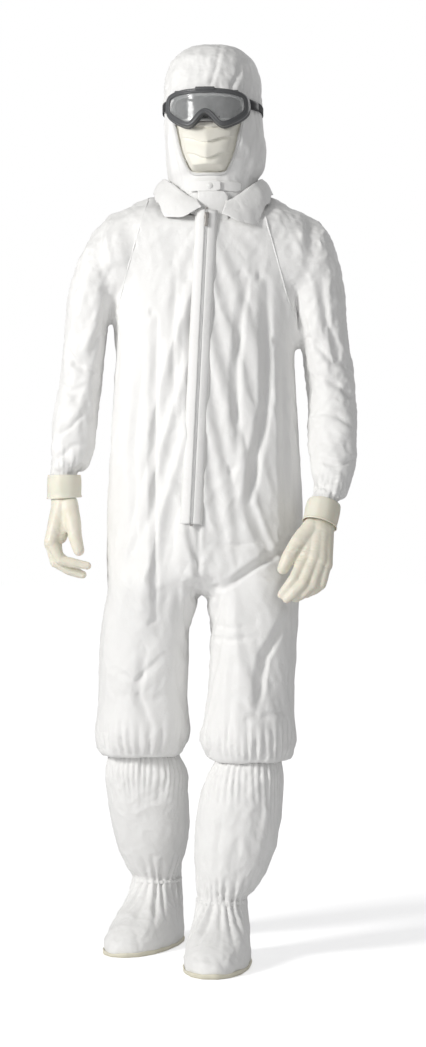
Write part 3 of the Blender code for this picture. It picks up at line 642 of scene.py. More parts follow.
def sleeve_form(side_name, side):
    """Sections fan round the armpit from upright to level, then go down to the wrist."""
    tree = shell_tree("sleeve_" + side_name)
    armpit = Vector((side * (armhole_x - 0.004), 0, 1.235))
    rings = []
    fan_steps = 9
    for i in range(fan_steps):
        angle = math.radians(lerp(4, 84, i / (fan_steps - 1)))
        out = X * side * math.sin(angle) + Z * math.cos(angle)
        centre = armpit + out * 0.09
        near = tree.ray_cast(armpit, out, RAY_REACH)
        far = tree.ray_cast(armpit + out * RAY_REACH, -out, RAY_REACH)
        if near[0] is not None and far[0] is not None:
            centre = (near[0] + far[0]) / 2
        rings.append(outline(tree, centre, out, Y, RING, INSET))
    first = rings[0]
    rings.insert(0, [Vector((side * (armhole_x - 0.03), p.y, p.z)) for p in first])
    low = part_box("sleeve_" + side_name)[0][2]
    centre = sum(rings[-1], Vector()) / RING
    for z in spread(1.17, low + 0.004, 22):
        centre = Vector((centre.x, centre.y, z))
        centre = recentre(tree, centre, X, Y)
        rings.append(outline(tree, centre, X, Y, RING, INSET if z > low + 0.05 else -0.001))
    return loft(rings, cap_start=True, cap_end=True)


def remeshed(name, forms, voxel):
    """Joins closed forms into one skin with evenly sized faces."""
    joined = bmesh.new()
    for form in forms:
        mesh = bpy.data.meshes.new("part")
        form.to_mesh(mesh)
        form.free()
        joined.from_mesh(mesh)
        bpy.data.meshes.remove(mesh)
    skin = make_object(name, joined)
    melt = skin.modifiers.new("melt", "REMESH")
    melt.mode = "VOXEL"
    melt.voxel_size = voxel
    bake_modifiers(skin)
    return skin


coverall = remeshed(
    "coverall",
    [
        trunk_form(),
        leg_form("right"),
        leg_form("left"),
        sleeve_form("right", -1),
        sleeve_form("left", 1),
    ],
    COVERALL_VOXEL,
)
print("coverall skin", len(coverall.data.vertices), "points")

# %% [markdown]
# A raglan seam runs from the neck to the armpit. It is marked before the cloth moves: edges between
# faces on the two sides of the seam's plane are flagged, and their ends are slid onto the plane.

# %% Mark the raglan seams
RAGLAN_TOP = Vector((0.105, 0, 1.525))
RAGLAN_FOOT = Vector((armhole_x - 0.001, 0, 1.262))


def mark_raglan(bm, side):
    top = Vector((side * RAGLAN_TOP.x, 0, RAGLAN_TOP.z))
    foot = Vector((side * RAGLAN_FOOT.x, 0, RAGLAN_FOOT.z))
    along = (foot - top).normalized()
    across = Vector((along.z, 0, -along.x))
    beyond = {f: (f.calc_center_median() - foot).dot(across) > 0 for f in bm.faces}
    on_seam = set()
    for edge in bm.edges:
        middle = (edge.verts[0].co + edge.verts[1].co) / 2
        if middle.x * side < 0.06 or middle.z < 1.20:
            continue
        first, second = edge.link_faces
        if beyond[first] != beyond[second]:
            edge.seam = True
            on_seam.update(edge.verts)
    for vert in on_seam:
        vert.co -= across * (vert.co - foot).dot(across)
    return len(on_seam)


marked = bmesh.new()
marked.from_mesh(coverall.data)
print("seam points", mark_raglan(marked, -1), mark_raglan(marked, 1))
marked.to_mesh(coverall.data)
marked.free()


# %% [markdown]
# ## Cloth simulation
# A stiff, roomy suit folds because more cloth was cut than the body needs. The simulation is given
# that extra cloth through a second shape: its rest shape is larger all round than the skin that it
# starts from, so it buckles into folds, and gravity settles them. A slightly smaller solid body
# inside keeps it from sinking in, and the edges that are sewn to elastic stay held.


# %% The simulation
def hold(item, weight_at):
    """A vertex group with a weight worked out from each point's place."""
    group = item.vertex_groups.new(name="held")
    for vertex in item.data.vertices:
        weight = weight_at(vertex.co)
        if weight > 0:
            group.add([vertex.index], weight, "REPLACE")


def simulate(item, grow_at, weight_at, body=None, frames=24, gravity=1.0, most=0.02, **feel):
    """Lets cloth settle and keeps each point within a set distance of where it started."""
    hold(item, weight_at)
    item.shape_key_add(name="worn", from_mix=False)
    cut = item.shape_key_add(name="cut", from_mix=False)
    start = np.empty(len(item.data.vertices) * 3)
    item.data.vertices.foreach_get("co", start)
    start = start.reshape(-1, 3)
    for i, point in enumerate(start):
        cut.data[i].co = grow_at(Vector(point))
    cloth = item.modifiers.new("cloth", "CLOTH")
    settings = cloth.settings
    settings.quality = feel.get("quality", 5)
    settings.mass = feel.get("mass", 0.12)
    settings.air_damping = 1.0
    settings.tension_stiffness = feel.get("tension", 18)
    settings.compression_stiffness = feel.get("tension", 18)
    settings.shear_stiffness = feel.get("shear", 8)
    settings.bending_stiffness = feel.get("bending", 0.6)
    settings.tension_damping = 12
    settings.compression_damping = 12
    settings.bending_damping = 0.8
    settings.vertex_group_mass = "held"
    settings.rest_shape_key = cut
    settings.effector_weights.gravity = gravity
    cloth.collision_settings.use_collision = body is not None
    cloth.collision_settings.distance_min = 0.003
    cloth.collision_settings.collision_quality = 2
    cloth.point_cache.frame_start = 1
    cloth.point_cache.frame_end = frames
    scene = bpy.context.scene
    for step in range(1, frames + 1):
        scene.frame_set(step)
    bake_modifiers(item)
    scene.frame_set(1)
    end = np.empty(len(start) * 3)
    item.data.vertices.foreach_get("co", end)
    move = end.reshape(-1, 3) - start
    length = np.linalg.norm(move, axis=1, keepdims=True)
    move *= np.where(length > most, most / np.maximum(length, 1e-9), 1.0)
    item.data.vertices.foreach_set("co", (start + move).ravel())
    item.data.update()
    print(item.name, "moved", round(float(length.mean()) * 1000, 1), "mm on average")


def solid_body(source, name, shrink, voxel):
    """A smaller copy of a closed skin, which cloth can't sink into."""
    body = source.copy()
    body.data = source.data.copy()
    body.name = name
    bpy.context.collection.objects.link(body)
    thinner = body.modifiers.new("thinner", "DISPLACE")
    thinner.strength = -shrink
    thinner.mid_level = 0.0
    coarser = body.modifiers.new("coarser", "REMESH")
    coarser.mode = "VOXEL"
    coarser.voxel_size = voxel
    bake_modifiers(body)
    body.modifiers.new("collision", "COLLISION")
    body.collision.thickness_outer = 0.002
    body.collision.cloth_friction = 8
    return body


def remove(item):
    bpy.data.objects.remove(item, do_unlink=True)


# %% [markdown]
# The coverall is held at the neck, the two cuffs, the two hems and along the zip. It is cut a
# tenth wider than the body and a little longer, so most folds run up and down.

# %% Fold the coverall
SIDES = (("right", -1), ("left", 1))
wrists = {"right": Vector((-0.277, -0.022, 0.957)), "left": Vector((0.2345, -0.112, 0.900))}
wrist_ways = {
    name: Vector(joints["glove_" + name + "_pull"]["axis"]).normalized() for name, _ in SIDES
}


def past_wrist(point):
    """How far a point of a sleeve is past the top edge of its glove."""
    name = "left" if point.x > 0 else "right"
    away = point - wrists[name]
    down = away.dot(wrist_ways[name])
    aside = (away - wrist_ways[name] * down).length
    return down if aside < 0.050 and abs(down) < 0.08 else -1.0


hem_z = max(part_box("boot_top_elastic_right")[1][2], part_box("boot_top_elastic_left")[1][2])


def zip_distance(point):
    """Distance from the zip's line as seen from the front, large behind it."""
    if point.y > -0.05 or point.z > ZIP_TOP.z + 0.03 or point.z < 0.80:
        return 1.0
    return abs(point.x - zip_x(point.z))


def coverall_hold(point):
    if point.z > 1.505:
        return 1.0
    if past_wrist(point) > -0.006 or point.z < hem_z + 0.004:
        return 1.0
    near_zip = zip_distance(point)
    if near_zip < 0.014:
        return 1.0
    return 0.0


WIDER, LONGER, SLEEVE_LONGER = 1.10, 1.035, 1.12


def coverall_cut(point):
    """The cut is wider all round, and longer down the sleeves."""
    away = smoothstep(armhole_x - 0.01, armhole_x + 0.03, abs(point.x)) * smoothstep(0.86, 0.9, point.z)
    longer = lerp(LONGER, SLEEVE_LONGER, away)
    return Vector((point.x * WIDER, point.y * WIDER, (point.z - 1.0) * longer))


body = solid_body(coverall, "coverall_body", 0.010, 0.016)
simulate(
    coverall,
    coverall_cut,
    coverall_hold,
    body,
    frames=26,
    most=0.022,
    bending=0.5,
)
remove(body)


# %% [markdown]
# The closed skin is opened at the neck, cuffs and hems, then cut along the raglan seams over the
# shoulders, which part the two sleeves from the trunk.


# %% Open the coverall and cut it into its pieces
def cut_plane(bm, point, normal, keep=None, within=None):
    """Cuts a bmesh along a plane; keep=False removes the side the normal points to."""
    geom = bm.verts[:] + bm.edges[:] + bm.faces[:]
    if within is not None:
        faces = [f for f in bm.faces if within(f.calc_center_median())]
        edges = {e for f in faces for e in f.edges}
        verts = {v for f in faces for v in f.verts}
        geom = list(verts) + list(edges) + faces
    made = bmesh.ops.bisect_plane(
        bm,
        geom=geom,
        plane_co=point,
        plane_no=normal,
        dist=1e-5,
        clear_outer=keep is False,
    )
    return [e for e in made["geom_cut"] if isinstance(e, bmesh.types.BMEdge)]


CUFF_END = 0.012  # the sleeve goes this far into the glove
HEM_END = -0.006


def open_coverall(bm):
    for name, side in SIDES:
        end = wrists[name] + wrist_ways[name] * CUFF_END

        def near(p, side=side):
            return past_wrist(p) > -0.05 and p.x * side > 0

        cut_plane(bm, end, wrist_ways[name], within=near)
    cut_plane(bm, Vector((0, 0, hem_z + HEM_END)), -Z, within=lambda p: p.z < hem_z + 0.03)

    def is_end(point):
        at_neck = (point - neck).to_2d().length < 0.093 and point.z > 1.45
        return past_wrist(point) > CUFF_END or at_neck or point.z < hem_z + HEM_END

    ends = [f for f in bm.faces if is_end(f.calc_center_median())]
    bmesh.ops.delete(bm, geom=ends, context="FACES")


shape = bmesh.new()
shape.from_mesh(coverall.data)
open_coverall(shape)
seam_edges = [e for e in shape.edges if e.seam]
seam_points = {"right": [], "left": []}
for edge in seam_edges:
    ends = tuple(tuple(round(c, 6) for c in v.co) for v in edge.verts)
    seam_points["left" if ends[0][0] > 0 else "right"].append(ends)
bmesh.ops.split_edges(shape, edges=seam_edges)


def islands(bm):
    """Groups of connected faces, the largest first."""
    seen, groups = set(), []
    for face in bm.faces:
        if face in seen:
            continue
        stack, group = [face], []
        seen.add(face)
        while stack:
            current = stack.pop()
            group.append(current)
            for edge in current.edges:
                for other in edge.link_faces:
                    if other not in seen:
                        seen.add(other)
                        stack.append(other)
        groups.append(group)
    return sorted(groups, key=len, reverse=True)


def take_faces(bm, faces, name, material):
    """Copies some faces of a bmesh into an object of their own."""
    keep = {f.index for f in faces}
    mesh = bpy.data.meshes.new("taken")
    bm.to_mesh(mesh)
    part = bmesh.new()
    part.from_mesh(mesh)
    bpy.data.meshes.remove(mesh)
    part.faces.ensure_lookup_table()
    drop = [f for f in part.faces if f.index not in keep]
    bmesh.ops.delete(part, geom=drop, context="FACES")
    return make_object(name, part, material)


shape.faces.index_update()
groups = islands(shape)[:3]
print([len(g) for g in groups])
middle_x = [sum(f.calc_center_median().x for f in g) / len(g) for g in groups]
trunk_faces = groups[0]
sleeve_right_faces = groups[1 + (middle_x[1] > 0)] if middle_x[1] * middle_x[2] < 0 else groups[1]
sleeve_left_faces = groups[2] if sleeve_right_faces is groups[1] else groups[1]
sleeve_objects = {
    "right": take_faces(shape, sleeve_right_faces, "sleeve_cloth_right", cloth_material),
    "left": take_faces(shape, sleeve_left_faces, "sleeve_cloth_left", cloth_material),
}
trunk_object = take_faces(shape, trunk_faces, "trunk_cloth", cloth_material)
shape.free()
remove(coverall)
print("pieces", [len(g) for g in groups])


# %% [markdown]
# A voxel mesh is slightly stepped, so each piece is smoothed, subdivided, and then given its fine
# creases: noise with sharpened ridges moves each point a millimetre or two along its normal.
# The deepest folds of a stiff suit are few and long, so those are drawn one by one as lines on
# the front, each pressed in as a valley with a soft ridge beside it. Near an elastic the cloth
# is gathered, which is a ripple that fades away from the elastic.


# %% Creases, folds and gathers
def points_of(item):
    places = np.empty(len(item.data.vertices) * 3)
    item.data.vertices.foreach_get("co", places)
    return places.reshape(-1, 3)


def normals_of(item):
    normals = np.empty(len(item.data.vertices) * 3)
    item.data.vertices.foreach_get("normal", normals)
    return normals.reshape(-1, 3)


def place_points(item, places):
    item.data.vertices.foreach_set("co", places.ravel())
    item.data.update()


def crumple(item, depth, scale, seed=0.0, stretch=(1.0, 1.0, 0.7)):
    """Sharp-ridged noise in two sizes."""
    places, normals = points_of(item), normals_of(item)
    height = np.empty(len(places))
    shift = Vector((seed, 0, 0))
    for i, place in enumerate(places):
        p = Vector(place * stretch)
        p += noise.noise_vector(p * 9.0) * 0.02
        coarse = abs(noise.noise(p * scale + shift))
        fine = abs(noise.noise(p * scale * 2.3 + shift * 2))
        height[i] = 0.6 - 2 * coarse - fine
    place_points(item, places + normals * (height * depth)[:, None])


# A stiff cloth folds like paper: a crest, a long flat slope in shadow, and a short way back up.
FOLD_ACROSS = (-4.0, -0.7, 0.0, 0.3, 1.9, 2.2, 3.0, 6.0)
FOLD_HEIGHT = (0.0, 0.32, 0.42, 0.30, -0.80, -0.74, 0.06, 0.0)


def press_folds(item, folds, side=-1):
    """Presses valleys along lines given as (x, z) points, on the front (-1) or the back (1)."""
    places, normals = points_of(item), normals_of(item)
    facing = np.clip(normals[:, 1] * side * 2.0, 0, 1)
    move = np.zeros(len(places))
    for line, width, depth in folds:
        best = np.full(len(places), 1e9)
        lean = np.zeros(len(places))
        fade = np.zeros(len(places))
        lengths = [math.dist(a, b) for a, b in zip(line, line[1:])]
        whole, before = sum(lengths), 0.0
        for (ax, az), (bx, bz), length in zip(line, line[1:], lengths):
            ux, uz = (bx - ax) / length, (bz - az) / length
            along = (places[:, 0] - ax) * ux + (places[:, 2] - az) * uz
            kept = np.clip(along, 0, length)
            dx = places[:, 0] - (ax + ux * kept)
            dz = places[:, 2] - (az + uz * kept)
            far = np.hypot(dx, dz)
            near = far < best
            best = np.where(near, far, best)
            lean = np.where(near, dx * uz - dz * ux, lean)
            fade = np.where(near, np.sin(np.pi * np.clip((before + kept) / whole, 0.04, 0.96)), fade)
            before += length
        across = -np.sign(lean) * best / width
        profile = np.interp(across, FOLD_ACROSS, FOLD_HEIGHT)
        move += profile * depth * np.sqrt(fade)
    place_points(item, places + normals * (move * facing)[:, None])


def gather(item, centre, way, reach, count, depth, seed=0.0, around=0.16):
    """Ripples the cloth next to an elastic. way points from the elastic into the cloth."""
    centre, way = Vector(centre), Vector(way).normalized()
    side = way.orthogonal().normalized()
    other = way.cross(side)
    places, normals = points_of(item), normals_of(item)
    for i, place in enumerate(places):
        away = Vector(place) - centre
        rise = away.dot(way)
        flat = away - way * rise
        if not -0.012 < rise < reach or flat.length > around:
            continue
        angle = math.atan2(flat.dot(other), flat.dot(side))
        wander = noise.noise(Vector((math.cos(angle), math.sin(angle), seed)) * 2.2) * 3.0
        wander += noise.noise(Vector((angle, rise * 14, seed))) * 0.8
        fade = smoothstep(-0.012, 0.006, rise) * (1 - smoothstep(0.15 * reach, reach, rise))
        strength = 0.55 + 0.9 * noise.noise(Vector((angle * 2, seed, 0)))
        ripple = 2 * abs(math.sin((angle * count + wander) / 2)) - 1.2
        places[i] += normals[i] * ripple * depth * fade * strength
    place_points(item, places)


def relax_and_refine(item, times=2, levels=1):
    """Smooths a cloth away from its edges, and rounds it off."""
    inner = item.vertex_groups.new(name="inner")
    bm = bmesh.new()
    bm.from_mesh(item.data)
    inner.add([v.index for v in bm.verts if not v.is_boundary], 1.0, "REPLACE")
    bm.free()
    relax = item.modifiers.new("relax", "SMOOTH")
    relax.vertex_group = "inner"
    relax.iterations = times
    relax.factor = 0.5
    subdivide(item, levels)
    bake_modifiers(item)


FRONT_FOLDS = (
    (((-0.105, 1.262), (-0.109, 1.00), (-0.107, 0.68)), 0.007, 0.0085),
    (((-0.036, 1.325), (-0.037, 1.06), (-0.026, 0.99), (-0.025, 0.73)), 0.008, 0.0100),
    (((-0.050, 0.930), (-0.033, 0.815), (-0.019, 0.780)), 0.006, 0.0060),
    (((0.066, 1.335), (0.055, 1.26), (0.047, 1.16), (0.047, 0.98)), 0.009, 0.0080),
    (((0.103, 1.325), (0.104, 1.10), (0.090, 1.03), (0.067, 0.898), (0.103, 0.809)), 0.011, 0.0110),
    (((0.136, 1.20), (0.139, 1.061), (0.145, 0.858)), 0.010, 0.0090),
    (((0.158, 0.826), (0.100, 0.795), (0.034, 0.750)), 0.008, 0.0110),
    (((0.020, 0.812), (0.060, 0.806), (0.100, 0.812)), 0.006, 0.0060),
    (((-0.066, 1.360), (-0.071, 1.20), (-0.067, 1.05)), 0.006, 0.0045),
    (((-0.135, 1.180), (-0.150, 1.02), (-0.147, 0.82)), 0.008, 0.0055),
    (((0.148, 0.690), (0.101, 0.607), (0.083, 0.500)), 0.010, 0.0090),
    (((0.000, 0.631), (0.045, 0.624), (0.095, 0.630)), 0.005, 0.0040),
    (((0.012, 0.655), (0.050, 0.648), (0.085, 0.652)), 0.005, 0.0030),
    (((-0.175, 0.560), (-0.135, 0.530), (-0.075, 0.590)), 0.007, 0.0045),
    (((-0.130, 0.610), (-0.145, 0.520), (-0.120, 0.455)), 0.008, 0.0060),
    (((0.150, 0.505), (0.110, 0.495), (0.070, 0.525)), 0.006, 0.0045),
)
BACK_FOLDS = (
    (((-0.060, 1.34), (-0.050, 1.10), (-0.075, 0.86)), 0.011, 0.0100),
    (((0.075, 1.32), (0.068, 1.10), (0.085, 0.85)), 0.011, 0.0090),
    (((0.010, 1.25), (0.014, 1.02), (0.004, 0.80)), 0.009, 0.0070),
    (((-0.130, 0.80), (-0.080, 0.74), (-0.020, 0.72)), 0.009, 0.0090),
    (((0.130, 0.80), (0.085, 0.745), (0.030, 0.72)), 0.009, 0.0090),
    (((-0.190, 0.52), (-0.130, 0.50), (-0.070, 0.53)), 0.007, 0.0060),
    (((0.160, 0.52), (0.100, 0.50), (0.045, 0.52)), 0.007, 0.0060),
)
SLEEVE_FOLDS = (
    (((-0.285, 1.20), (-0.255, 1.165), (-0.225, 1.150)), 0.006, 0.0070),
    (((-0.295, 1.13), (-0.265, 1.110), (-0.232, 1.118)), 0.006, 0.0055),
    (((-0.240, 1.090), (-0.270, 1.060), (-0.300, 1.040)), 0.006, 0.0060),
    (((-0.230, 1.030), (-0.262, 1.022), (-0.300, 0.990)), 0.005, 0.0050),
    (((0.205, 1.215), (0.245, 1.170), (0.292, 1.160)), 0.006, 0.0075),
    (((0.225, 1.140), (0.262, 1.120), (0.305, 1.090)), 0.006, 0.0070),
    (((0.222, 1.070), (0.255, 1.065), (0.300, 1.035)), 0.005, 0.0055),
    (((0.300, 1.000), (0.265, 0.985), (0.230, 0.992)), 0.005, 0.0055),
    (((0.215, 1.330), (0.228, 1.250), (0.250, 1.200)), 0.008, 0.0070),
    (((-0.205, 1.340), (-0.215, 1.250), (-0.240, 1.190)), 0.008, 0.0060),
)

# %% [markdown]
# The three coverall pieces are finished. Each legs' hem is gathered by an elastic over the boot
# cover, and each sleeve's end is gathered where it goes into the glove.

# %% Finish the coverall pieces
leg_hems = {"right": Vector((-0.124, 0.100, hem_z)), "left": Vector((0.0895, -0.030, hem_z))}
HEM_HALF = {"right": (0.0765, 0.0865), "left": (0.0695, 0.0835)}


def blouse_hems(item):
    """Pushes each hem out over the top of its boot cover."""
    places, normals = points_of(item), normals_of(item)
    for i, place in enumerate(places):
        p = Vector(place)
        if p.z > hem_z + 0.12:
            continue
        full = smoothstep(hem_z, hem_z + 0.02, p.z) * (1 - smoothstep(hem_z + 0.04, hem_z + 0.12, p.z))
        places[i] += normals[i] * full * 0.010
        places[i, 2] -= 0.020 * smoothstep(0.004, 0.016, p.z - hem_z) * (1 - smoothstep(0.05, 0.12, p.z - hem_z))
        name = "right" if p.x < -0.015 else "left"
        away = p - leg_hems[name]
        half_x, half_y = HEM_HALF[name]
        size = math.hypot(away.x / half_x, away.y / half_y)
        if size < 1.0:
            push = (1.0 / size - 1.0) * (1 - smoothstep(hem_z - 0.002, hem_z + 0.014, p.z))
            places[i] += np.array((away.x, away.y, 0.0)) * push
    place_points(item, places)


seam_ends = [end for ends in seam_points.values() for pair in ends for end in pair]
seam_finder = KDTree(len(seam_ends))
for i, end in enumerate(seam_ends):
    seam_finder.insert(end, i)
seam_finder.balance()


def keep_seams(item, base):
    """Takes out what was pressed in next to a raglan seam, so that its two sides still meet."""
    places = points_of(item)
    for i, place in enumerate(base):
        share = smoothstep(0.003, 0.024, seam_finder.find(place)[2])
        places[i] = place + (places[i] - place) * share
    place_points(item, places)


relax_and_refine(trunk_object)
trunk_base = points_of(trunk_object).copy()
blouse_hems(trunk_object)
press_folds(trunk_object, FRONT_FOLDS)
press_folds(trunk_object, BACK_FOLDS, 1)
for name, hem in leg_hems.items():
    gather(trunk_object, hem, Z, 0.085, 40, 0.0048, seed=len(name))
crumple(trunk_object, 0.0016, 22.0)
keep_seams(trunk_object, trunk_base)
trunk_object.data.shade_smooth()
for name, side in SIDES:
    item = sleeve_objects[name]
    relax_and_refine(item)
    sleeve_base = points_of(item).copy()
    press_folds(item, SLEEVE_FOLDS)
    crumple(item, 0.0030, 22.0, 4.5 + 1.5 * side)
    gather(item, wrists[name], -wrist_ways[name], 0.075, 22, 0.0040, seed=side, around=0.08)
    crumple(item, 0.0010, 44.0, 5.0, (0.8, 0.8, 1.5))
    keep_seams(item, sleeve_base)
    item.data.shade_smooth()

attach(trunk_object, "root")
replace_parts(trunk_object, *panels, "leg_right", "leg_left")
for name, side in SIDES:
    item = sleeve_objects[name]
    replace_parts(item, "sleeve_" + name)
    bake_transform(item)


def surface_area(item):
    return sum(polygon.area for polygon in item.data.polygons)


print("trunk", surface_area(trunk_object), "sleeves", [surface_area(sleeve_objects[n]) for n, _ in SIDES])

# %% [markdown]
# The raglan seams are sewn with a bound edge, a narrow cord of folded cloth that follows the cut.


# %% Raglan seams
def ordered_path(pairs):
    """Puts loose line pieces in order, longest run first."""
    near = {}
    for a, b in pairs:
        near.setdefault(a, []).append(b)
        near.setdefault(b, []).append(a)
    ends = [p for p, linked in near.items() if len(linked) == 1]
    best, unused = [], set(near)
    for first in ends + list(near):
        if first not in unused:
            continue
        path, current = [first], first
        unused.discard(first)
        while True:
            onwards = [p for p in near[current] if p in unused]
            if not onwards:
                break
            current = onwards[0]
            unused.discard(current)
            path.append(current)
        if len(path) > len(best):
            best = path
    return [Vector(p) for p in best]


def surface_tree(item):
    bm = bmesh.new()
    bm.from_mesh(item.data)
    tree = BVHTree.FromBMesh(bm)
    bm.free()
    return tree


trunk_tree = surface_tree(trunk_object)
for name, side in SIDES:
    path = ordered_path(seam_points[name])
    path = [trunk_tree.find_nearest(p)[0] for p in path[::2]]
    closed = (path[0] - path[-1]).length < 0.03
    for _ in range(2):
        inner = [(a + b * 2 + c) / 4 for a, b, c in zip(path, path[1:], path[2:])]
        path = [path[0]] + inner + [path[-1]]
    bm = tube(path, 0.0017, 8, closed, 0.75, lambda p, s=side: p - Vector((s * 0.13, 0, 1.36)))
    seam = make_object("raglan_seam_" + name, bm, cloth_material)
    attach(seam, "root")

# %% [markdown]
# ## Hood
# The hood is a loose dome. It is simulated like the coverall, held by the goggle strap, by the
# elastic of the face opening and at the neck. Then the face opening is cut: points near its line
# are moved onto the line first, so that the cut edge is smooth.

# %% Hood form and simulation
HOOD_VOXEL = 0.0062
STRAP_Z = 1.682
FACE = (
    (0.000, 1.694),
    (0.050, 1.692),
    (0.066, 1.680),
    (0.066, 1.652),
    (0.060, 1.625),
    (0.052, 1.590),
    (0.040, 1.560),
    (0.028, 1.5495),
    (0.000, 1.5490),
)
head_back = head_place.inverted()


def mirrored(half):
    return list(half) + [(-x, z) for x, z in reversed(half[1:-1])]


def closed_outline(half, count):
    """A smooth closed outline in the x-z plane from its right half."""
    return smooth_curve([Vector((x, 0, z)) for x, z in mirrored(half)], count, closed=True)


face_line = closed_outline(FACE, 120)


def to_line(point, line):
    """Distance to a closed line in the x-z plane, negative inside, and the nearest place."""
    best, where, inside = 1e9, None, False
    for a, b in zip(line, line[1:] + line[:1]):
        dx, dz = b.x - a.x, b.z - a.z
        t = ((point.x - a.x) * dx + (point.z - a.z) * dz) / max(dx * dx + dz * dz, 1e-12)
        t = min(max(t, 0), 1)
        x, z = a.x + dx * t, a.z + dz * t
        far = math.hypot(point.x - x, point.z - z)
        if far < best:
            best, where = far, (x, z)
        if (a.z > point.z) != (b.z > point.z):
            if point.x < a.x + (point.z - a.z) * dx / dz:
                inside = not inside
    return (-best if inside else best), where


hood_nodes = ("hood_crown", "hood_side_right", "hood_side_left", "hood_neck")
hood_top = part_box("hood_crown")[1][2]


def hood_form():
    heights = spread(1.488, hood_top - 0.014, 30)
    heights += [hood_top - 0.008, hood_top - 0.004]
    rings = level_outlines(hood_nodes, heights, neck, 72, 0.001)
    for ring in rings:
        for point in ring:
            tuck = math.exp(-(((point.z - STRAP_Z) / 0.012) ** 2))
            point.x, point.y = (
                lerp(v, c, 0.045 * tuck) for v, c in ((point.x, neck.x), (point.y, neck.y))
            )
            drape = smoothstep(1.68, 1.60, point.z) * smoothstep(1.548, 1.572, point.z)
            point.x += 0.013 * drape * max((point.x - neck.x) / 0.09, 0.0)
    return loft(rings, cap_start=True, cap_end=True)


def hood_hold(point):
    local = head_back @ point
    if point.z < 1.512 or abs(point.z - STRAP_Z) < 0.005:
        return 1.0
    if local.y < -0.02 and to_line(local, face_line)[0] < 0.008:
        return 1.0
    return 0.0


def hood_cut(point):
    return Vector(
        (
            neck.x + (point.x - neck.x) * 1.10,
            point.y * 1.10,
            (point.z - 1.5) * 1.08,
        )
    )


hood = remeshed("hood_cloth", [hood_form()], HOOD_VOXEL)
body = solid_body(hood, "hood_body", 0.008, 0.012)
simulate(hood, hood_cut, hood_hold, body, frames=22, most=0.013, bending=0.35)
remove(body)

# %% Cut and finish the hood
relax_and_refine(hood, 2)
bm = bmesh.new()
bm.from_mesh(hood.data)
drop = []
for vertex in bm.verts:
    local = head_back @ vertex.co
    if local.y < -0.02:
        far, where = to_line(local, face_line)
        if abs(far) < 0.0022:
            local.x, local.z = where
            vertex.co = head_place @ local
for face in bm.faces:
    middle = face.calc_center_median()
    local = head_back @ middle
    in_face = local.y < -0.02 and to_line(local, face_line)[0] < 0
    if in_face or middle.z < 1.493:
        drop.append(face)
bmesh.ops.delete(bm, geom=drop, context="FACES")
bm.to_mesh(hood.data)
bm.free()
HOOD_FOLDS = (
    (((-0.090, 1.650), (-0.088, 1.60), (-0.078, 1.540)), 0.006, 0.0050),
    (((-0.076, 1.640), (-0.070, 1.59), (-0.056, 1.530)), 0.005, 0.0040),
    (((0.110, 1.655), (0.104, 1.60), (0.092, 1.550)), 0.006, 0.0055),
    (((0.094, 1.650), (0.086, 1.595), (0.068, 1.535)), 0.005, 0.0045),
    (((0.060, 1.700), (0.075, 1.735), (0.082, 1.770)), 0.005, 0.0045),
    (((0.088, 1.700), (0.094, 1.730), (0.088, 1.765)), 0.005, 0.0040),
    (((-0.060, 1.700), (-0.062, 1.735), (-0.048, 1.775)), 0.005, 0.0035),
    (((0.020, 1.712), (0.032, 1.750), (0.040, 1.800)), 0.004, 0.0025),
)
press_folds(hood, HOOD_FOLDS)
gather(hood, (neck.x, 0, STRAP_Z), Z, 0.045, 34, 0.0030, 2.0)
gather(hood, (neck.x, 0, STRAP_Z), -Z, 0.045, 30, 0.0026, 4.0)
crumple(hood, 0.0019, 27.0, 21.0)
hood.data.materials.append(hood_material)
hood.data.shade_smooth()
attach(hood, "head")
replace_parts(hood, *hood_nodes)
hood_tree = surface_tree(hood)
print("hood area", round(surface_area(hood), 3))


def on_hood(x, z, lift):
    """The hood's front surface, in the head's own frame, straight behind a point."""
    start = head_place @ Vector((x, -0.30, z))
    way = (head_place.to_3x3() @ Y).normalized()
    hit = hood_tree.ray_cast(start, way, 0.30)
    if hit[0] is None:
        hit = hood_tree.find_nearest(head_place @ Vector((x, -0.09, z)))
    local = head_back @ hit[0]
    return Vector((x, local.y - lift, z))


# %% [markdown]
# The face opening ends in a narrow elastic binding that draws the cloth in to the mask. It lies
# on the hood's edge, so its path is found by shooting rays at the finished hood.

# %% Face binding and crown seams
binding_path = []
for p in closed_outline(FACE, 150):
    out = Vector((p.x, 0, p.z - 1.62)).normalized()
    near = on_hood(p.x + out.x * 0.003, p.z + out.z * 0.003, 0.0010)
    binding_path.append(near)
for _ in range(3):
    binding_path = [
        (binding_path[i - 1] + p * 2 + binding_path[(i + 1) % len(binding_path)]) / 4
        for i, p in enumerate(binding_path)
    ]
bm = tube(binding_path, 0.0030, 10, True, 0.6, lambda p: Vector((0, -1, 0)))
face_binding = make_object("face_binding", bm, elastic_material, head_place)
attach(face_binding, "head")
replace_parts(face_binding, "hood_face_binding")

for side in (-1, 1):
    path = []
    for i in range(60):
        angle = math.radians(lerp(88, 172, i / 59))
        way = Vector((0, -math.cos(angle), math.sin(angle)))
        start = head_place @ (Vector((side * 0.040, 0, 1.66)) + way * 0.2)
        hit = hood_tree.ray_cast(start, -(head_place.to_3x3() @ way), 0.2)
        if hit[0] is not None:
            path.append(hit[0] + hit[1] * 0.0003)
    if len(path) > 4:
        bm = tube(path, 0.0014, 8, False, 0.7, lambda p: p - Vector((neck.x, 0, 1.66)))
        seam = make_object("crown_seam_" + ("right" if side < 0 else "left"), bm, hood_material)
        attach(seam, "head")

# %% [markdown]
# ## Boot covers
# Each boot cover is a wide tube of the same cloth, drawn in by an elastic under the knee and one
# at the ankle, and sewn to a vinyl sole. It is simulated in one piece and then cut open at its top and at the
# sole.

# %% Boot covers
BOOT_VOXEL = 0.0065


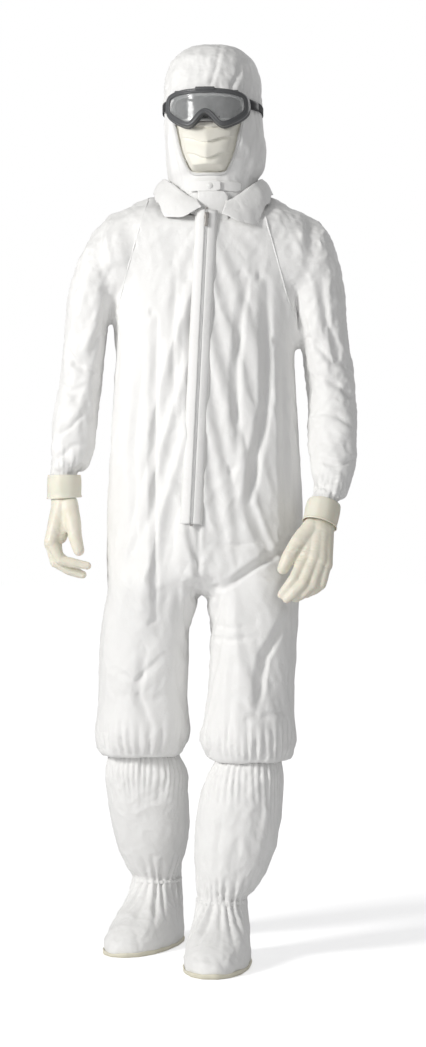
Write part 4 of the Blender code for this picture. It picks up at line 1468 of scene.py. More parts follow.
def boot_form(name):
    low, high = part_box("boot_shaft_" + name)
    foot_low, foot_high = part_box("boot_foot_" + name)
    top = Vector(((low[0] + high[0]) / 2, (low[1] + high[1]) / 2, 0))
    rings = level_outlines(
        ["boot_shaft_" + name, "boot_top_elastic_" + name],
        spread(high[2] + 0.006, low[2] + 0.002, 22),
        top,
        RING,
        -0.002,
    )
    ankle = sum(rings[-1], Vector()) / RING
    heights = spread(foot_high[2] - 0.004, foot_low[2] + 0.003, 13)
    foot_rings = level_outlines(["boot_foot_" + name], heights, ankle, RING, -0.001)
    foot_rings.append([p - Vector((0, 0, 0.014)) for p in foot_rings[-1]])
    return loft(rings + foot_rings, cap_start=True, cap_end=True)


for name, side in SIDES:
    boot = remeshed("boot_cover_" + name, [boot_form(name)], BOOT_VOXEL)
    shaft_low, shaft_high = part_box("boot_shaft_" + name)
    ankle_low, ankle_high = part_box("ankle_elastic_" + name)
    foot_low, foot_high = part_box("boot_foot_" + name)
    top_z, ankle_z, sole_z = shaft_high[2], (ankle_low[2] + ankle_high[2]) / 2, foot_low[2]

    def boot_hold(p, top_z=top_z, ankle_z=ankle_z, sole_z=sole_z):
        held = p.z > top_z - 0.004 or abs(p.z - ankle_z) < 0.006 or p.z < sole_z + 0.008
        return 1.0 if held else 0.0

    centre = sum((v.co for v in boot.data.vertices), Vector()) / len(boot.data.vertices)

    def boot_cut(p, centre=centre):
        wide = lerp(1.13, 1.20, smoothstep(0.20, 0.10, p.z))
        return Vector(((p.x - centre.x) * wide, (p.y - centre.y) * wide, p.z * 1.09))

    body = solid_body(boot, "boot_body", 0.007, 0.012)
    simulate(boot, boot_cut, boot_hold, body, frames=22, most=0.014, bending=0.35)
    remove(body)
    relax_and_refine(boot, 2)
    bm = bmesh.new()
    bm.from_mesh(boot.data)
    cut_plane(bm, Vector((0, 0, top_z + 0.002)), Z)
    cut_plane(bm, Vector((0, 0, sole_z - 0.002)), Z)
    ends = []
    for face in bm.faces:
        z = face.calc_center_median().z
        if z > top_z + 0.002 or z < sole_z - 0.002:
            ends.append(face)
    bmesh.ops.delete(bm, geom=ends, context="FACES")
    bm.to_mesh(boot.data)
    bm.free()
    shaft_middle = [(a + b) / 2 for a, b in zip(*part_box("boot_top_elastic_" + name))]
    ankle_middle = [(a + b) / 2 for a, b in zip(ankle_low, ankle_high)]
    gather(boot, shaft_middle, -Z, 0.12, 42, 0.0044, seed=side)
    gather(boot, ankle_middle, Z, 0.070, 26, 0.0048, seed=side + 3)
    gather(boot, ankle_middle, -Z, 0.095, 26, 0.0060, seed=side + 7, around=0.2)
    crumple(boot, 0.0018, 26.0, 40.0 + side)
    boot.data.materials.append(cloth_material)
    boot.data.shade_smooth()
    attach(boot, "root")
    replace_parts(boot, "boot_shaft_" + name, "boot_foot_" + name)
    print("boot cover", name, round(surface_area(boot), 3))

# %% [markdown]
# An elastic that is sewn into a hem shows as a narrow ribbed band. Its outline is read from the
# engineering model and its surface rippled.


# %% Elastics
def elastic_band(node, grow, ribs, depth, way=Z, bulge=1.0):
    low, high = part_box(node)
    middle = Vector([(a + b) / 2 for a, b in zip(low, high)])
    way = Vector(way).normalized()
    tree = shell_tree(node)
    u = way.orthogonal().normalized()
    v = way.cross(u)
    corners = [Vector((x, y, z)) - middle for x in (low[0], high[0]) for y in (low[1], high[1]) for z in (low[2], high[2])]
    half = 0.0042 if abs(way.z) < 0.99 else max(abs(c.dot(way)) for c in corners)
    centre = recentre(tree, middle, u, v)
    count = ribs * 4
    base = outline(tree, centre, u, v, count)
    rings = []
    for share, swell in ((-1.0, -0.6), (-0.8, 0.2), (-0.3, 1.0), (0.3, 1.0), (0.8, 0.2), (1.0, -0.6), (0.6, -1.6), (-0.6, -1.6)):
        ring = []
        for i, point in enumerate(base):
            out = (point - centre).normalized()
            rib = math.cos(i * math.pi / 2) * depth * (1 if swell > 0 else 0.4)
            ring.append(point + out * (grow + swell * 0.0012 * bulge + rib) + way * half * share)
        rings.append(ring)
    return loft(rings, joined=True)


for node in ("boot_top_elastic_right", "boot_top_elastic_left", "ankle_elastic_right", "ankle_elastic_left"):
    grow = -0.0006 if "top" in node else 0.0010
    band = make_object(node + "_band", elastic_band(node, grow, 44, 0.0007), cloth_material)
    subdivide(band)
    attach(band, "root")
    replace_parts(band, node)
for name, side in SIDES:
    node = "wrist_elastic_" + name
    bm = elastic_band(node, 0.0, 30, 0.0004, wrist_ways[name], 0.6)
    band = make_object(node + "_band", bm, elastic_material)
    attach(band, "arm_" + name)
    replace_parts(band, node)

# %% [markdown]
# ## Soles
# The sole is a cut sheet of vinyl turned up a little round the foot, so its edge is never quite
# straight.

# %% Soles
for name, side in SIDES:
    node = "boot_sole_" + name
    low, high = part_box(node)
    middle = Vector([(a + b) / 2 for a, b in zip(low, high)])
    tree = shell_tree(node)
    base = outline(tree, recentre(tree, middle, X, Y), X, Y, 120)
    centre = sum(base, Vector()) / len(base)
    rings = []
    for height, grow in ((0.0, -0.012), (0.0, -0.002), (0.0012, 0.0), (0.0065, 0.0012), (0.0088, 0.0008), (0.0090, -0.0010), (0.0062, -0.0022), (0.0060, -0.012)):
        ring = []
        for i, point in enumerate(base):
            out = (point - centre).to_2d().normalized().to_3d()
            wave = noise.noise(point * 26 + Vector((side, 0, 0))) if height > 0.001 else 0.0
            ring.append(Vector((point.x, point.y, height + max(wave, -0.5) * 0.004 * (height > 0.006))) + out * (grow + wave * 0.0015))
        rings.append(ring)
    bm = loft(rings, cap_start=True, cap_end=True)
    sole = make_object("sole_sheet_" + name, bm, sole_material)
    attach(sole, "root")
    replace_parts(sole, node)

# %% [markdown]
# ## Gloves
# A dipped latex glove follows the hand, so the hand's bones are laid out as rods with rounded
# ends, each given by its two ends and their radii. A fine voxel remesh melts them into one skin.
# The right hand hangs with the thumb side forward; the left shows its back.

# %% Hands
GLOVE_VOXEL = 0.0021
HANDS = {
    "right": (
        (((-0.278, -0.024, 0.945), 0.0235), ((-0.280, -0.030, 0.905), 0.0235)),
        (((-0.277, -0.012, 0.945), 0.0235), ((-0.281, -0.012, 0.905), 0.0235)),
        (((-0.277, -0.032, 0.915), 0.0190), ((-0.3000, -0.058, 0.826), 0.0150)),
        (((-0.279, -0.026, 0.915), 0.0200), ((-0.3010, -0.038, 0.822), 0.0155)),
        (((-0.279, -0.018, 0.915), 0.0200), ((-0.2990, -0.016, 0.820), 0.0150)),
        (((-0.279, -0.012, 0.915), 0.0190), ((-0.2960, 0.004, 0.824), 0.0140)),
        (((-0.270, -0.040, 0.880), 0.0200), ((-0.2850, -0.048, 0.836), 0.0160)),
        (((-0.3000, -0.058, 0.826), 0.0135), ((-0.2830, -0.061, 0.790), 0.0108)),
        (((-0.2830, -0.061, 0.790), 0.0108), ((-0.2550, -0.063, 0.783), 0.0098)),
        (((-0.2550, -0.063, 0.783), 0.0098), ((-0.2290, -0.063, 0.7785), 0.0080)),
        (((-0.3010, -0.038, 0.822), 0.0135), ((-0.2930, -0.041, 0.785), 0.0112)),
        (((-0.2930, -0.041, 0.785), 0.0112), ((-0.2660, -0.042, 0.769), 0.0100)),
        (((-0.2660, -0.042, 0.769), 0.0100), ((-0.2400, -0.042, 0.7605), 0.0082)),
        (((-0.2990, -0.016, 0.820), 0.0130), ((-0.2930, -0.016, 0.785), 0.0108)),
        (((-0.2930, -0.016, 0.785), 0.0108), ((-0.2680, -0.016, 0.770), 0.0096)),
        (((-0.2680, -0.016, 0.770), 0.0096), ((-0.2470, -0.016, 0.763), 0.0080)),
        (((-0.2960, 0.004, 0.824), 0.0120), ((-0.2900, 0.006, 0.797), 0.0098)),
        (((-0.2900, 0.006, 0.797), 0.0098), ((-0.2700, 0.006, 0.783), 0.0088)),
        (((-0.2700, 0.006, 0.783), 0.0088), ((-0.2540, 0.006, 0.777), 0.0075)),
        (((-0.2670, -0.040, 0.900), 0.0190), ((-0.2575, -0.062, 0.862), 0.0160)),
        (((-0.2575, -0.062, 0.862), 0.0160), ((-0.2530, -0.072, 0.836), 0.0140)),
        (((-0.2530, -0.072, 0.836), 0.0140), ((-0.2455, -0.078, 0.8085), 0.0112)),
    ),
    "left": (
        (((0.2330, -0.116, 0.890), 0.0240), ((0.2240, -0.130, 0.853), 0.0240)),
        (((0.2400, -0.112, 0.890), 0.0225), ((0.2330, -0.126, 0.853), 0.0225)),
        (((0.2180, -0.128, 0.860), 0.0185), ((0.1975, -0.154, 0.8000), 0.0150)),
        (((0.2240, -0.130, 0.860), 0.0195), ((0.2120, -0.157, 0.7950), 0.0155)),
        (((0.2300, -0.130, 0.860), 0.0190), ((0.2250, -0.156, 0.7880), 0.0150)),
        (((0.2360, -0.128, 0.860), 0.0175), ((0.2360, -0.152, 0.7820), 0.0135)),
        (((0.1975, -0.154, 0.8000), 0.0130), ((0.1740, -0.171, 0.7560), 0.0108)),
        (((0.1740, -0.171, 0.7560), 0.0108), ((0.1610, -0.172, 0.7380), 0.0098)),
        (((0.1610, -0.172, 0.7380), 0.0098), ((0.1500, -0.168, 0.7240), 0.0084)),
        (((0.2120, -0.157, 0.7950), 0.0135), ((0.1915, -0.176, 0.7470), 0.0112)),
        (((0.1915, -0.176, 0.7470), 0.0112), ((0.1740, -0.178, 0.7290), 0.0100)),
        (((0.1740, -0.178, 0.7290), 0.0100), ((0.1600, -0.174, 0.7160), 0.0086)),
        (((0.2250, -0.156, 0.7880), 0.0130), ((0.2090, -0.172, 0.7430), 0.0108)),
        (((0.2090, -0.172, 0.7430), 0.0108), ((0.1930, -0.172, 0.7270), 0.0096)),
        (((0.1930, -0.172, 0.7270), 0.0096), ((0.1770, -0.166, 0.7170), 0.0084)),
        (((0.2360, -0.152, 0.7820), 0.0120), ((0.2270, -0.164, 0.7440), 0.0098)),
        (((0.2270, -0.164, 0.7440), 0.0098), ((0.2140, -0.164, 0.7330), 0.0088)),
        (((0.2140, -0.164, 0.7330), 0.0088), ((0.1990, -0.158, 0.7250), 0.0078)),
        (((0.2110, -0.134, 0.856), 0.0190), ((0.1840, -0.150, 0.8260), 0.0170)),
        (((0.1840, -0.150, 0.8260), 0.0170), ((0.1640, -0.157, 0.7960), 0.0140)),
        (((0.1640, -0.157, 0.7960), 0.0140), ((0.1535, -0.159, 0.7745), 0.0115)),
    ),
}
WEBS = {"right": Vector((-0.268, -0.060, 0.842)), "left": Vector((0.186, -0.160, 0.806))}


def rod(start, end):
    """A rod with round ends, as two balls and the cone between them."""
    (a, ra), (b, rb) = ((Vector(p), r) for p, r in (start, end))
    bm = bmesh.new()
    along = (b - a).normalized()
    turn = along.to_track_quat("Z", "Y").to_matrix().to_4x4()
    length = (b - a).length
    for place, radius in ((a, ra), (b, rb)):
        bmesh.ops.create_uvsphere(
            bm, u_segments=20, v_segments=12, radius=radius, matrix=Matrix.Translation(place) @ turn
        )
    bmesh.ops.create_cone(
        bm,
        segments=20,
        radius1=ra,
        radius2=rb,
        depth=length,
        cap_ends=True,
        matrix=Matrix.Translation((a + b) / 2) @ turn,
    )
    return bm


CUFF_LENGTH = 0.044
for name, side in SIDES:
    hand = remeshed("glove_skin_" + name, [rod(*pair) for pair in HANDS[name]], GLOVE_VOXEL)
    relax = hand.modifiers.new("relax", "SMOOTH")
    relax.iterations = 5
    relax.factor = 0.5
    bake_modifiers(hand)
    places, normals = points_of(hand), normals_of(hand)
    for i, place in enumerate(places):
        p = Vector(place)
        web = math.exp(-(((p - WEBS[name]).length / 0.022) ** 2))
        loose = noise.noise(p * 55 + Vector((side, 0, 0)))
        small = noise.noise(Vector((p.x, p.y, p.z * 2.2)) * 130)
        pull = -abs(noise.noise(Vector((p.x * 0.5, p.y * 0.5, p.z * 2.5)) * 120)) * web
        places[i] += normals[i] * (loose * 0.0008 + small * 0.00028 + pull * 0.0042)
    place_points(hand, places)
    hand.data.materials.append(latex_material)
    hand.data.shade_smooth()
    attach(hand, "hand_" + name)
    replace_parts(hand, "glove_" + name)

    # The cuff is turned down over the wrist, so its rolled bead lies towards the hand.
    way = wrist_ways[name]
    across = (X - way * X.dot(way)).normalized()
    front = way.cross(across)
    profile = (
        (0.0030, 0.030),
        (0.0024, 0.010),
        (0.0028, 0.000),
        (0.0036, -0.0012),
        (0.0046, 0.000),
        (0.0056, 0.012),
        (0.0054, 0.030),
        (0.0050, 0.041),
        (0.0062, 0.0422),
        (0.0068, 0.0436),
        (0.0062, 0.0450),
        (0.0048, 0.0454),
        (0.0038, 0.0440),
        (0.0036, 0.030),
    )
    rings = []
    for grow, down in profile:
        ring = []
        for i in range(72):
            angle = 2 * math.pi * i / 72
            out = across * math.cos(angle) + front * math.sin(angle)
            wrinkle = noise.noise(out * 2.2 + way * down * 90 + Vector((side * 3, 0, 0)))
            tilt = 0.0022 * math.sin(angle + side) * (down > 0.02)
            swell = grow + wrinkle * 0.0016 * (0.003 < down < 0.040)
            ring.append(
                wrists[name]
                + across * math.cos(angle) * (0.0285 + swell)
                + front * math.sin(angle) * (0.0320 + swell)
                + way * (down + tilt)
            )
        rings.append(ring)
    cuff = make_object("glove_cuff_" + name, loft(rings, joined=True), latex_material)
    subdivide(cuff)
    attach(cuff, "hand_" + name)

# %% [markdown]
# ## Collar
# The collar stands up round the hood's neck and folds over. Its two leaves come to points beside
# the zip and lie on the chest. Each leaf is one thin sheet.

# %% Collar leaves
COLLAR_RADIUS = 0.0945


def round_neck(radius, angle, z):
    return Vector((neck.x + radius * math.sin(angle), -radius * math.cos(angle), z))


LEAF_EDGE = {
    "left": (
        (8, 0.1160, 1.4665),
        (25, 0.1270, 1.4470),
        (40, 0.1300, 1.4460),
        (60, 0.1240, 1.4900),
        (80, 0.1190, 1.5170),
        (110, 0.1200, 1.5230),
        (180, 0.1260, 1.5180),
    ),
    "right": (
        (11, 0.1160, 1.4780),
        (30, 0.1270, 1.4580),
        (45, 0.1300, 1.4640),
        (62, 0.1240, 1.4930),
        (80, 0.1190, 1.5170),
        (110, 0.1200, 1.5230),
        (180, 0.1260, 1.5180),
    ),
}


def leaf_edge(angle, name):
    rows = LEAF_EDGE[name]
    degrees = math.degrees(angle)
    for low, high in zip(rows, rows[1:]):
        if degrees <= high[0]:
            t = smoothstep(low[0], high[0], degrees)
            return lerp(low[1], high[1], t), lerp(low[2], high[2], t)
    return rows[-1][1:]


def collar_point(angle, share, name):
    """share runs from 0 at the foot of the stand to 1 at the crease and 2 at the leaf's edge."""
    frontness = (1 + math.cos(angle)) / 2
    crease = 1.549 - 0.062 * frontness**5
    if share <= 1:
        stand = lerp(0.060, 0.032, frontness)
        return round_neck(COLLAR_RADIUS, angle, lerp(crease - stand, crease, share))
    t = share - 1
    edge_radius, edge_z = leaf_edge(angle, name)
    bow = math.sin(math.pi * t) * 0.0045
    fold = math.sin(math.pi * min(t / 0.16, 1.0)) * 0.0016
    radius = lerp(COLLAR_RADIUS + 0.002, edge_radius, t) + bow * 0.6
    return round_neck(radius, angle, lerp(crease, edge_z, t) + bow + fold)


def leaf_point(t, share, name, side):
    """t runs from the front edge to the middle of the back."""
    first = math.radians(LEAF_EDGE[name][0][0])
    lean = math.radians(7.0) * (1 - min(max(share - 1, 0.0), 1.0))
    p = collar_point(lerp(first + lean, math.pi - 0.003, t), share, name)
    p.x = neck.x + side * (p.x - neck.x)
    wave = noise.noise(p * 20 + Vector((0, side * 4, 0)))
    return p + Vector((0, 0, wave * 0.0045 * smoothstep(1.1, 1.7, share)))


LEAF_LIFT = 0.0035  # how far the folded leaf stays above the chest and shoulders


def neighbours(grid):
    """A grid and its copies shifted one step each way, with the edges repeated."""
    wide = np.pad(grid, 1, mode="edge")
    return np.array([wide[1:-1, 1:-1], wide[2:, 1:-1], wide[:-2, 1:-1], wide[1:-1, 2:], wide[1:-1, :-2]])


def lifted(rings, columns, rows):
    """Raises a leaf where it would sink into the cloth under it."""
    short = np.zeros((rows + 1, columns + 1))
    for j in range(rows // 2 + 1, rows + 1):
        for i in range(columns + 1):
            where, normal, _, _ = trunk_tree.find_nearest(rings[j][i])
            short[j, i] = max(LEAF_LIFT - (rings[j][i] - where).dot(normal), 0.0)
    for _ in range(3):
        short = neighbours(short).max(axis=0)
    for _ in range(3):
        short = neighbours(short).mean(axis=0)
    for j in range(rows + 1):
        for i in range(columns + 1):
            out = (rings[j][i] - neck).to_2d().normalized().to_3d() * 0.5 + Z * 0.87
            rings[j][i] += out * min(short[j, i], 0.03) * smoothstep(1.0, 1.25, 2 * j / rows)


for name, side in SIDES:
    columns, rows = 110, 30
    rings = []
    for j in range(rows + 1):
        rings.append([leaf_point(i / columns, 2 * j / rows, name, side) for i in range(columns + 1)])
    lifted(rings, columns, rows)
    bm = loft(rings, closed=False)
    bmesh.ops.solidify(bm, geom=bm.faces[:], thickness=0.0009)
    bmesh.ops.recalc_face_normals(bm, faces=bm.faces)
    collar = make_object("collar_leaf_" + name, bm, cloth_material)
    crumple(collar, 0.0008, 40.0, 60.0 + side)
    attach(collar, "root")
    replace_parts(collar, "collar_" + name)

# %% [markdown]
# A short tab closes the hood at the throat with a snap. The tab is two layers of cloth with a
# raised edge; the snap's cap is a turned dome.

# %% Throat tab and snap
HOOD_NECK_RADIUS = 0.0895


def neck_band(name, body, radius, start, end, low, high, wall):
    """A cloth strip bent round the neck, with rounded edges."""
    profiles = []
    for i in range(25):
        angle = math.radians(lerp(start, end, i / 24))
        taper = 1 - 0.25 * smoothstep(0.85, 1.0, i / 24)
        mid, half = (low + high) / 2, (high - low) / 2 * taper
        ring = []
        for r, z in (
            (0, -0.92), (0.25, -1.0), (0.75, -1.0), (1.0, -0.92), (1.15, -0.78), (1.0, -0.7),
            (1.0, 0.7), (1.15, 0.78), (1.0, 0.92), (0.75, 1.0), (0.25, 1.0), (0, 0.92),
        ):
            wave = 0.0004 * noise.noise(Vector((i * 0.5, z * 3, radius * 50)))
            ring.append(round_neck(radius + wall * r + wave, angle, mid + half * z))
        profiles.append(ring)
    strip = make_object(name, loft(profiles, cap_start=True, cap_end=True), cloth_material)
    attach(strip, body)
    return strip


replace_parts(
    neck_band("tab_base", "root", HOOD_NECK_RADIUS + 0.0012, -9, 38, 1.5125, 1.5320, 0.0013),
    "snap_tab_base",
)
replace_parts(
    neck_band("throat_tab", "tab", HOOD_NECK_RADIUS + 0.0053, -29.5, 9.4, 1.5120, 1.5325, 0.0013),
    "snap_tab",
)


zip_guard = neck_band("zip_guard", "root", 0.0955, -18, 18, 1.440, 1.512, 0.0012)


def turned(profile, segments=32):
    """A solid of revolution about Z from (radius, height) points."""
    bm = bmesh.new()
    verts = [bm.verts.new((r, 0, h)) for r, h in profile]
    edges = [bm.edges.new(pair) for pair in zip(verts, verts[1:])]
    bmesh.ops.spin(
        bm, geom=verts + edges, cent=(0, 0, 0), axis=(0, 0, 1), angle=2 * math.pi, steps=segments
    )
    bmesh.ops.remove_doubles(bm, verts=bm.verts, dist=1e-6)
    bmesh.ops.recalc_face_normals(bm, faces=bm.faces)
    return bm


SNAP_ANGLE, SNAP_Z = math.radians(-4), 1.522
outward = round_neck(1, SNAP_ANGLE, 0) - round_neck(0, SNAP_ANGLE, 0)
snap_turn = outward.to_track_quat("Z", "Y").to_matrix().to_4x4()
for name, body, node, radius, scale in (
    ("snap_dome", "tab", "snap_cap", HOOD_NECK_RADIUS + 0.0068, 1.0),
    ("snap_post", "root", "snap_stud", HOOD_NECK_RADIUS + 0.0026, 0.62),
):
    dome = turned(
        (
            (0.0, 0.0),
            (0.0052 * scale, 0.0),
            (0.0056 * scale, 0.0005 * scale),
            (0.0053 * scale, 0.0012 * scale),
            (0.0042 * scale, 0.0016 * scale),
            (0.0036 * scale, 0.0014 * scale),
            (0.0030 * scale, 0.0019 * scale),
            (0.0, 0.0023 * scale),
        )
    )
    place = Matrix.Translation(round_neck(radius, SNAP_ANGLE, SNAP_Z)) @ snap_turn
    made = make_object(name, dome, snap_material, place)
    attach(made, body)
    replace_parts(made, node)

# %% [markdown]
# ## Zip
# The zip's tapes are woven ribbons. Its teeth are loops of one coil each side, set half a step
# apart so that they lock. The slider straddles both coils and its pull hangs from an eye.

# %% Zip
zip_up = (ZIP_TOP - ZIP_FOOT).normalized()
zip_across = (X - zip_up * X.dot(zip_up)).normalized()
zip_in = zip_up.cross(zip_across)
zip_turn = Matrix((zip_across, zip_in, zip_up)).transposed().to_4x4()
zip_place = Matrix.Translation(ZIP_TOP) @ zip_turn
zip_length = (ZIP_TOP - ZIP_FOOT).length
TAPE_LIFT, TAPE_WALL, COIL_WALL = 0.0016, 0.0009, 0.0020
COIL_STEP = 0.0021


def add_block(bm, low, high, bevel):
    low, high = Vector(low), Vector(high)
    place = Matrix.Translation((low + high) / 2) @ Matrix.Diagonal((*(high - low), 1))
    made = bmesh.ops.create_cube(bm, size=1, matrix=place)
    edges = list({e for v in made["verts"] for e in v.link_edges})
    bmesh.ops.bevel(
        bm, geom=edges, offset=bevel, segments=2, affect="EDGES", profile=0.5, material=-1
    )


tapes = {}
for name, side in SIDES:
    rings = []
    for i in range(121):
        z = -zip_length * i / 120
        wave = noise.noise(Vector((z * 14, side, 0))) * 0.0004
        ring = []
        for x in (0.0003, 0.003, 0.006, 0.0085, 0.0100):
            ring.append(Vector((side * x, -TAPE_LIFT + wave * x / 0.01, z)))
        rings.append(ring)
    bm = loft(rings, closed=False)
    bmesh.ops.solidify(bm, geom=bm.faces[:], thickness=TAPE_WALL)
    bmesh.ops.recalc_face_normals(bm, faces=bm.faces)
    tape = make_object("zip_ribbon_" + name, bm, tape_material, zip_place)
    tapes[name] = tape
    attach(tape, "root")
    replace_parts(tape, "zip_tape_" + name)

    bm = bmesh.new()
    front = -TAPE_LIFT - TAPE_WALL - COIL_WALL
    for i in range(int(zip_length / COIL_STEP)):
        z = -COIL_STEP * (i + (0.5 if side > 0 else 0.0)) - 0.001
        xs = sorted((side * -0.0007, side * 0.0025))
        place = Matrix.Translation(((xs[0] + xs[1]) / 2, front + COIL_WALL / 2, z))
        size = Matrix.Diagonal(((xs[1] - xs[0]) / 2, COIL_WALL / 2, COIL_STEP * 0.27, 1))
        bmesh.ops.create_icosphere(bm, subdivisions=1, radius=1, matrix=place @ size)
    coil = make_object("zip_teeth_" + name, bm, coil_material, zip_place)
    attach(coil, "root")
    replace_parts(coil, "zip_coil_" + name)

# The front panels' folded edges cover most of each tape.
for name, side in SIDES:
    rings = []
    for i in range(121):
        z = -zip_length * i / 120
        wave = noise.noise(Vector((z * 22, side * 2, 0))) * 0.0005
        ring = []
        for x, y in ((0.0030, 0.0026), (0.0033, 0.0029), (0.0060, 0.0028), (0.0100, 0.0022), (0.0160, 0.0004), (0.0220, -0.0040)):
            ring.append(Vector((side * (x + wave), -y, z)))
        rings.append(ring)
    bm = loft(rings, closed=False)
    bmesh.ops.solidify(bm, geom=bm.faces[:], thickness=0.0004)
    bmesh.ops.recalc_face_normals(bm, faces=bm.faces)
    placket = make_object("zip_placket_" + name, bm, cloth_material, zip_place)
    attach(placket, "root")

coil_front = -TAPE_LIFT - TAPE_WALL - 0.0003 - COIL_WALL
slider_place = zip_place @ Matrix.Translation((0, 0, -0.006))
bm = bmesh.new()
add_block(bm, (-0.0042, coil_front - 0.0016, -0.011), (0.0042, coil_front - 0.0005, 0.0), 0.0005)
for side in (-1, 1):
    xs = sorted((side * 0.0033, side * 0.0043))
    add_block(bm, (xs[0], coil_front - 0.0010, -0.011), (xs[1], coil_front + 0.0017, 0.0), 0.0003)
add_block(bm, (-0.0012, coil_front - 0.0030, -0.0085), (0.0012, coil_front - 0.0014, -0.0015), 0.0006)
slider = make_object("slider_body", bm, wire_material, slider_place)
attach(slider, "zip_runner")
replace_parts(slider, "zip_slider")

eye_y = coil_front - 0.0016 - 0.0003 - 0.0008
pull_place = slider_place @ Matrix.Translation((0, eye_y, -0.003))
outline_half = ((0.0, 0.0006), (0.0026, 0.0), (0.0034, -0.003), (0.0026, -0.010), (0.0034, -0.020), (0.0028, -0.0245), (0.0, -0.0252))
rings = []
for y, shrink in ((-0.0008, 0.82), (-0.0005, 1.0), (0.0005, 1.0), (0.0008, 0.82)):
    shape = smooth_curve([Vector((x, 0, z)) for x, z in mirrored(outline_half)], 48, closed=True)
    rings.append([Vector((p.x * shrink, y, -0.0123 + (p.z + 0.0123) * lerp(1, shrink, 0.3))) for p in shape])
pull = make_object(
    "pull_tab", loft(rings, cap_start=True, cap_end=True), wire_material, pull_place
)
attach(pull, "zip_puller")
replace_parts(pull, "zip_pull")
for name, z in (("top", 0.0021), ("bottom", -zip_length - 0.0023)):
    bm = bmesh.new()
    add_block(bm, (-0.0028, coil_front - 0.0002, z - 0.0015), (0.0028, -TAPE_LIFT, z + 0.0015), 0.0005)
    stop = make_object("zip_end_" + name, bm, wire_material, zip_place)
    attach(stop, "root")
    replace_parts(stop, "zip_" + name + "_stop")

# %% [markdown]
# ## Mask
# A pleated mask is one sheet folded like a blind: each pleat hangs over the one below it. The
# sheet is a grid; under each fold line it steps forward and slopes back again.

# %% Pleated mask
MASK_LOW, MASK_HIGH = 1.5440, 1.650
PLEATS = ((1.6400, 0.008), (1.6160, 0.015), (1.5830, 0.011))  # height at the side, dip in the middle


def opening_half(z):
    z = max(z, FACE[-2][1] + 1e-5)
    for (x0, z0), (x1, z1) in zip(FACE, FACE[1:-1]):
        if z1 <= z <= z0:
            return lerp(x1, x0, (z - z1) / (z0 - z1))
    return FACE[1][0]


def mask_place(share, z, lift=0.0):
    half = opening_half(z) + 0.006
    bulge = math.sin(math.pi * (z - MASK_LOW + 0.03) / (MASK_HIGH - MASK_LOW + 0.05))
    edge, middle = -0.1000, -0.1085 - 0.0300 * bulge
    y = lerp(middle, edge, abs(share) ** 1.7)
    y -= 0.0016 * math.exp(-((share / 0.16) ** 2)) * bulge
    for height, dip in PLEATS:
        under = height - dip * math.exp(-((share / 0.42) ** 2)) + 0.0012 * math.sin(share * 5 + height * 90) - z
        if under > 0:
            y += 0.0058 * math.exp(-under / 0.011)
        else:
            y -= 0.0010 * math.exp(under / 0.008)
    y += noise.noise(Vector((share * 2.6, z * 38, 3))) * 0.0012
    point = Vector((share * half, y - lift, z))
    far, where = to_line(point, face_line)
    if far > -0.012:
        out = Vector((where[0], 0, where[1] - 1.62)).normalized() * 0.004
        under_hood = on_hood(where[0] + out.x, where[1] + out.z, -0.0026).y
        point.y = lerp(point.y, max(point.y, under_hood), smoothstep(-0.012, -0.001, far))
    return point


rings = []
for j in range(111):
    z = lerp(MASK_LOW, MASK_HIGH, j / 110)
    rings.append([mask_place(lerp(-1, 1, i / 56), z) for i in range(57)])
bm = loft(rings, closed=False)
bmesh.ops.solidify(bm, geom=bm.faces[:], thickness=0.0008)
bmesh.ops.recalc_face_normals(bm, faces=bm.faces)
mask = make_object("pleated_mask", bm, mask_material, head_place)
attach(mask, "head")
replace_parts(mask, "mask_body")
for name, low, high in (("top", MASK_HIGH - 0.006, MASK_HIGH), ("bottom", MASK_LOW, MASK_LOW + 0.0055)):
    rings = []
    for lift, z in ((0.0, high), (0.0012, high), (0.0018, lerp(low, high, 0.5)), (0.0012, low), (0.0, low)):
        rings.append([mask_place(lerp(-1, 1, i / 56), z, lift + 0.0006) for i in range(57)])
    edge = make_object("mask_edge_" + name, loft(rings, closed=False), edge_material, head_place)
    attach(edge, "head")
    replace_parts(edge, "mask_" + name + "_binding")
path = [mask_place(lerp(-0.55, 0.55, i / 30), MASK_HIGH - 0.0085, 0.0008) for i in range(31)]
nose_wire = make_object("nose_strip", tube(path, 0.0014, 8, False, 0.5, lambda p: Vector((0, -1, 0))), wire_material, head_place)
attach(nose_wire, "head")
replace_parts(nose_wire, "mask_nose_wire")
for name, side in SIDES:
    ends = [Vector((side * x, y, z)) for x, y, z in ((0.056, -0.094, 1.640), (0.080, -0.005, 1.632), (0.078, -0.004, 1.605), (0.044, -0.092, 1.572))]
    path = []
    for i in range(41):
        t = i / 40
        path.append(ends[0] * (1 - t) ** 3 + ends[1] * 3 * t * (1 - t) ** 2 + ends[2] * 3 * t * t * (1 - t) + ends[3] * t**3)
    loop = make_object("ear_loop_" + name, tube(path, 0.0013, 10), elastic_material, head_place)
    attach(loop, "head")
    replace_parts(loop, "mask_ear_loop_" + name)

# %% [markdown]
# ## Goggles
# The goggles' rim is moulded in one soft piece: a wide flange on the face, a waist, and a raised
# lip that grips the lens. One section is drawn once and carried round the outline.

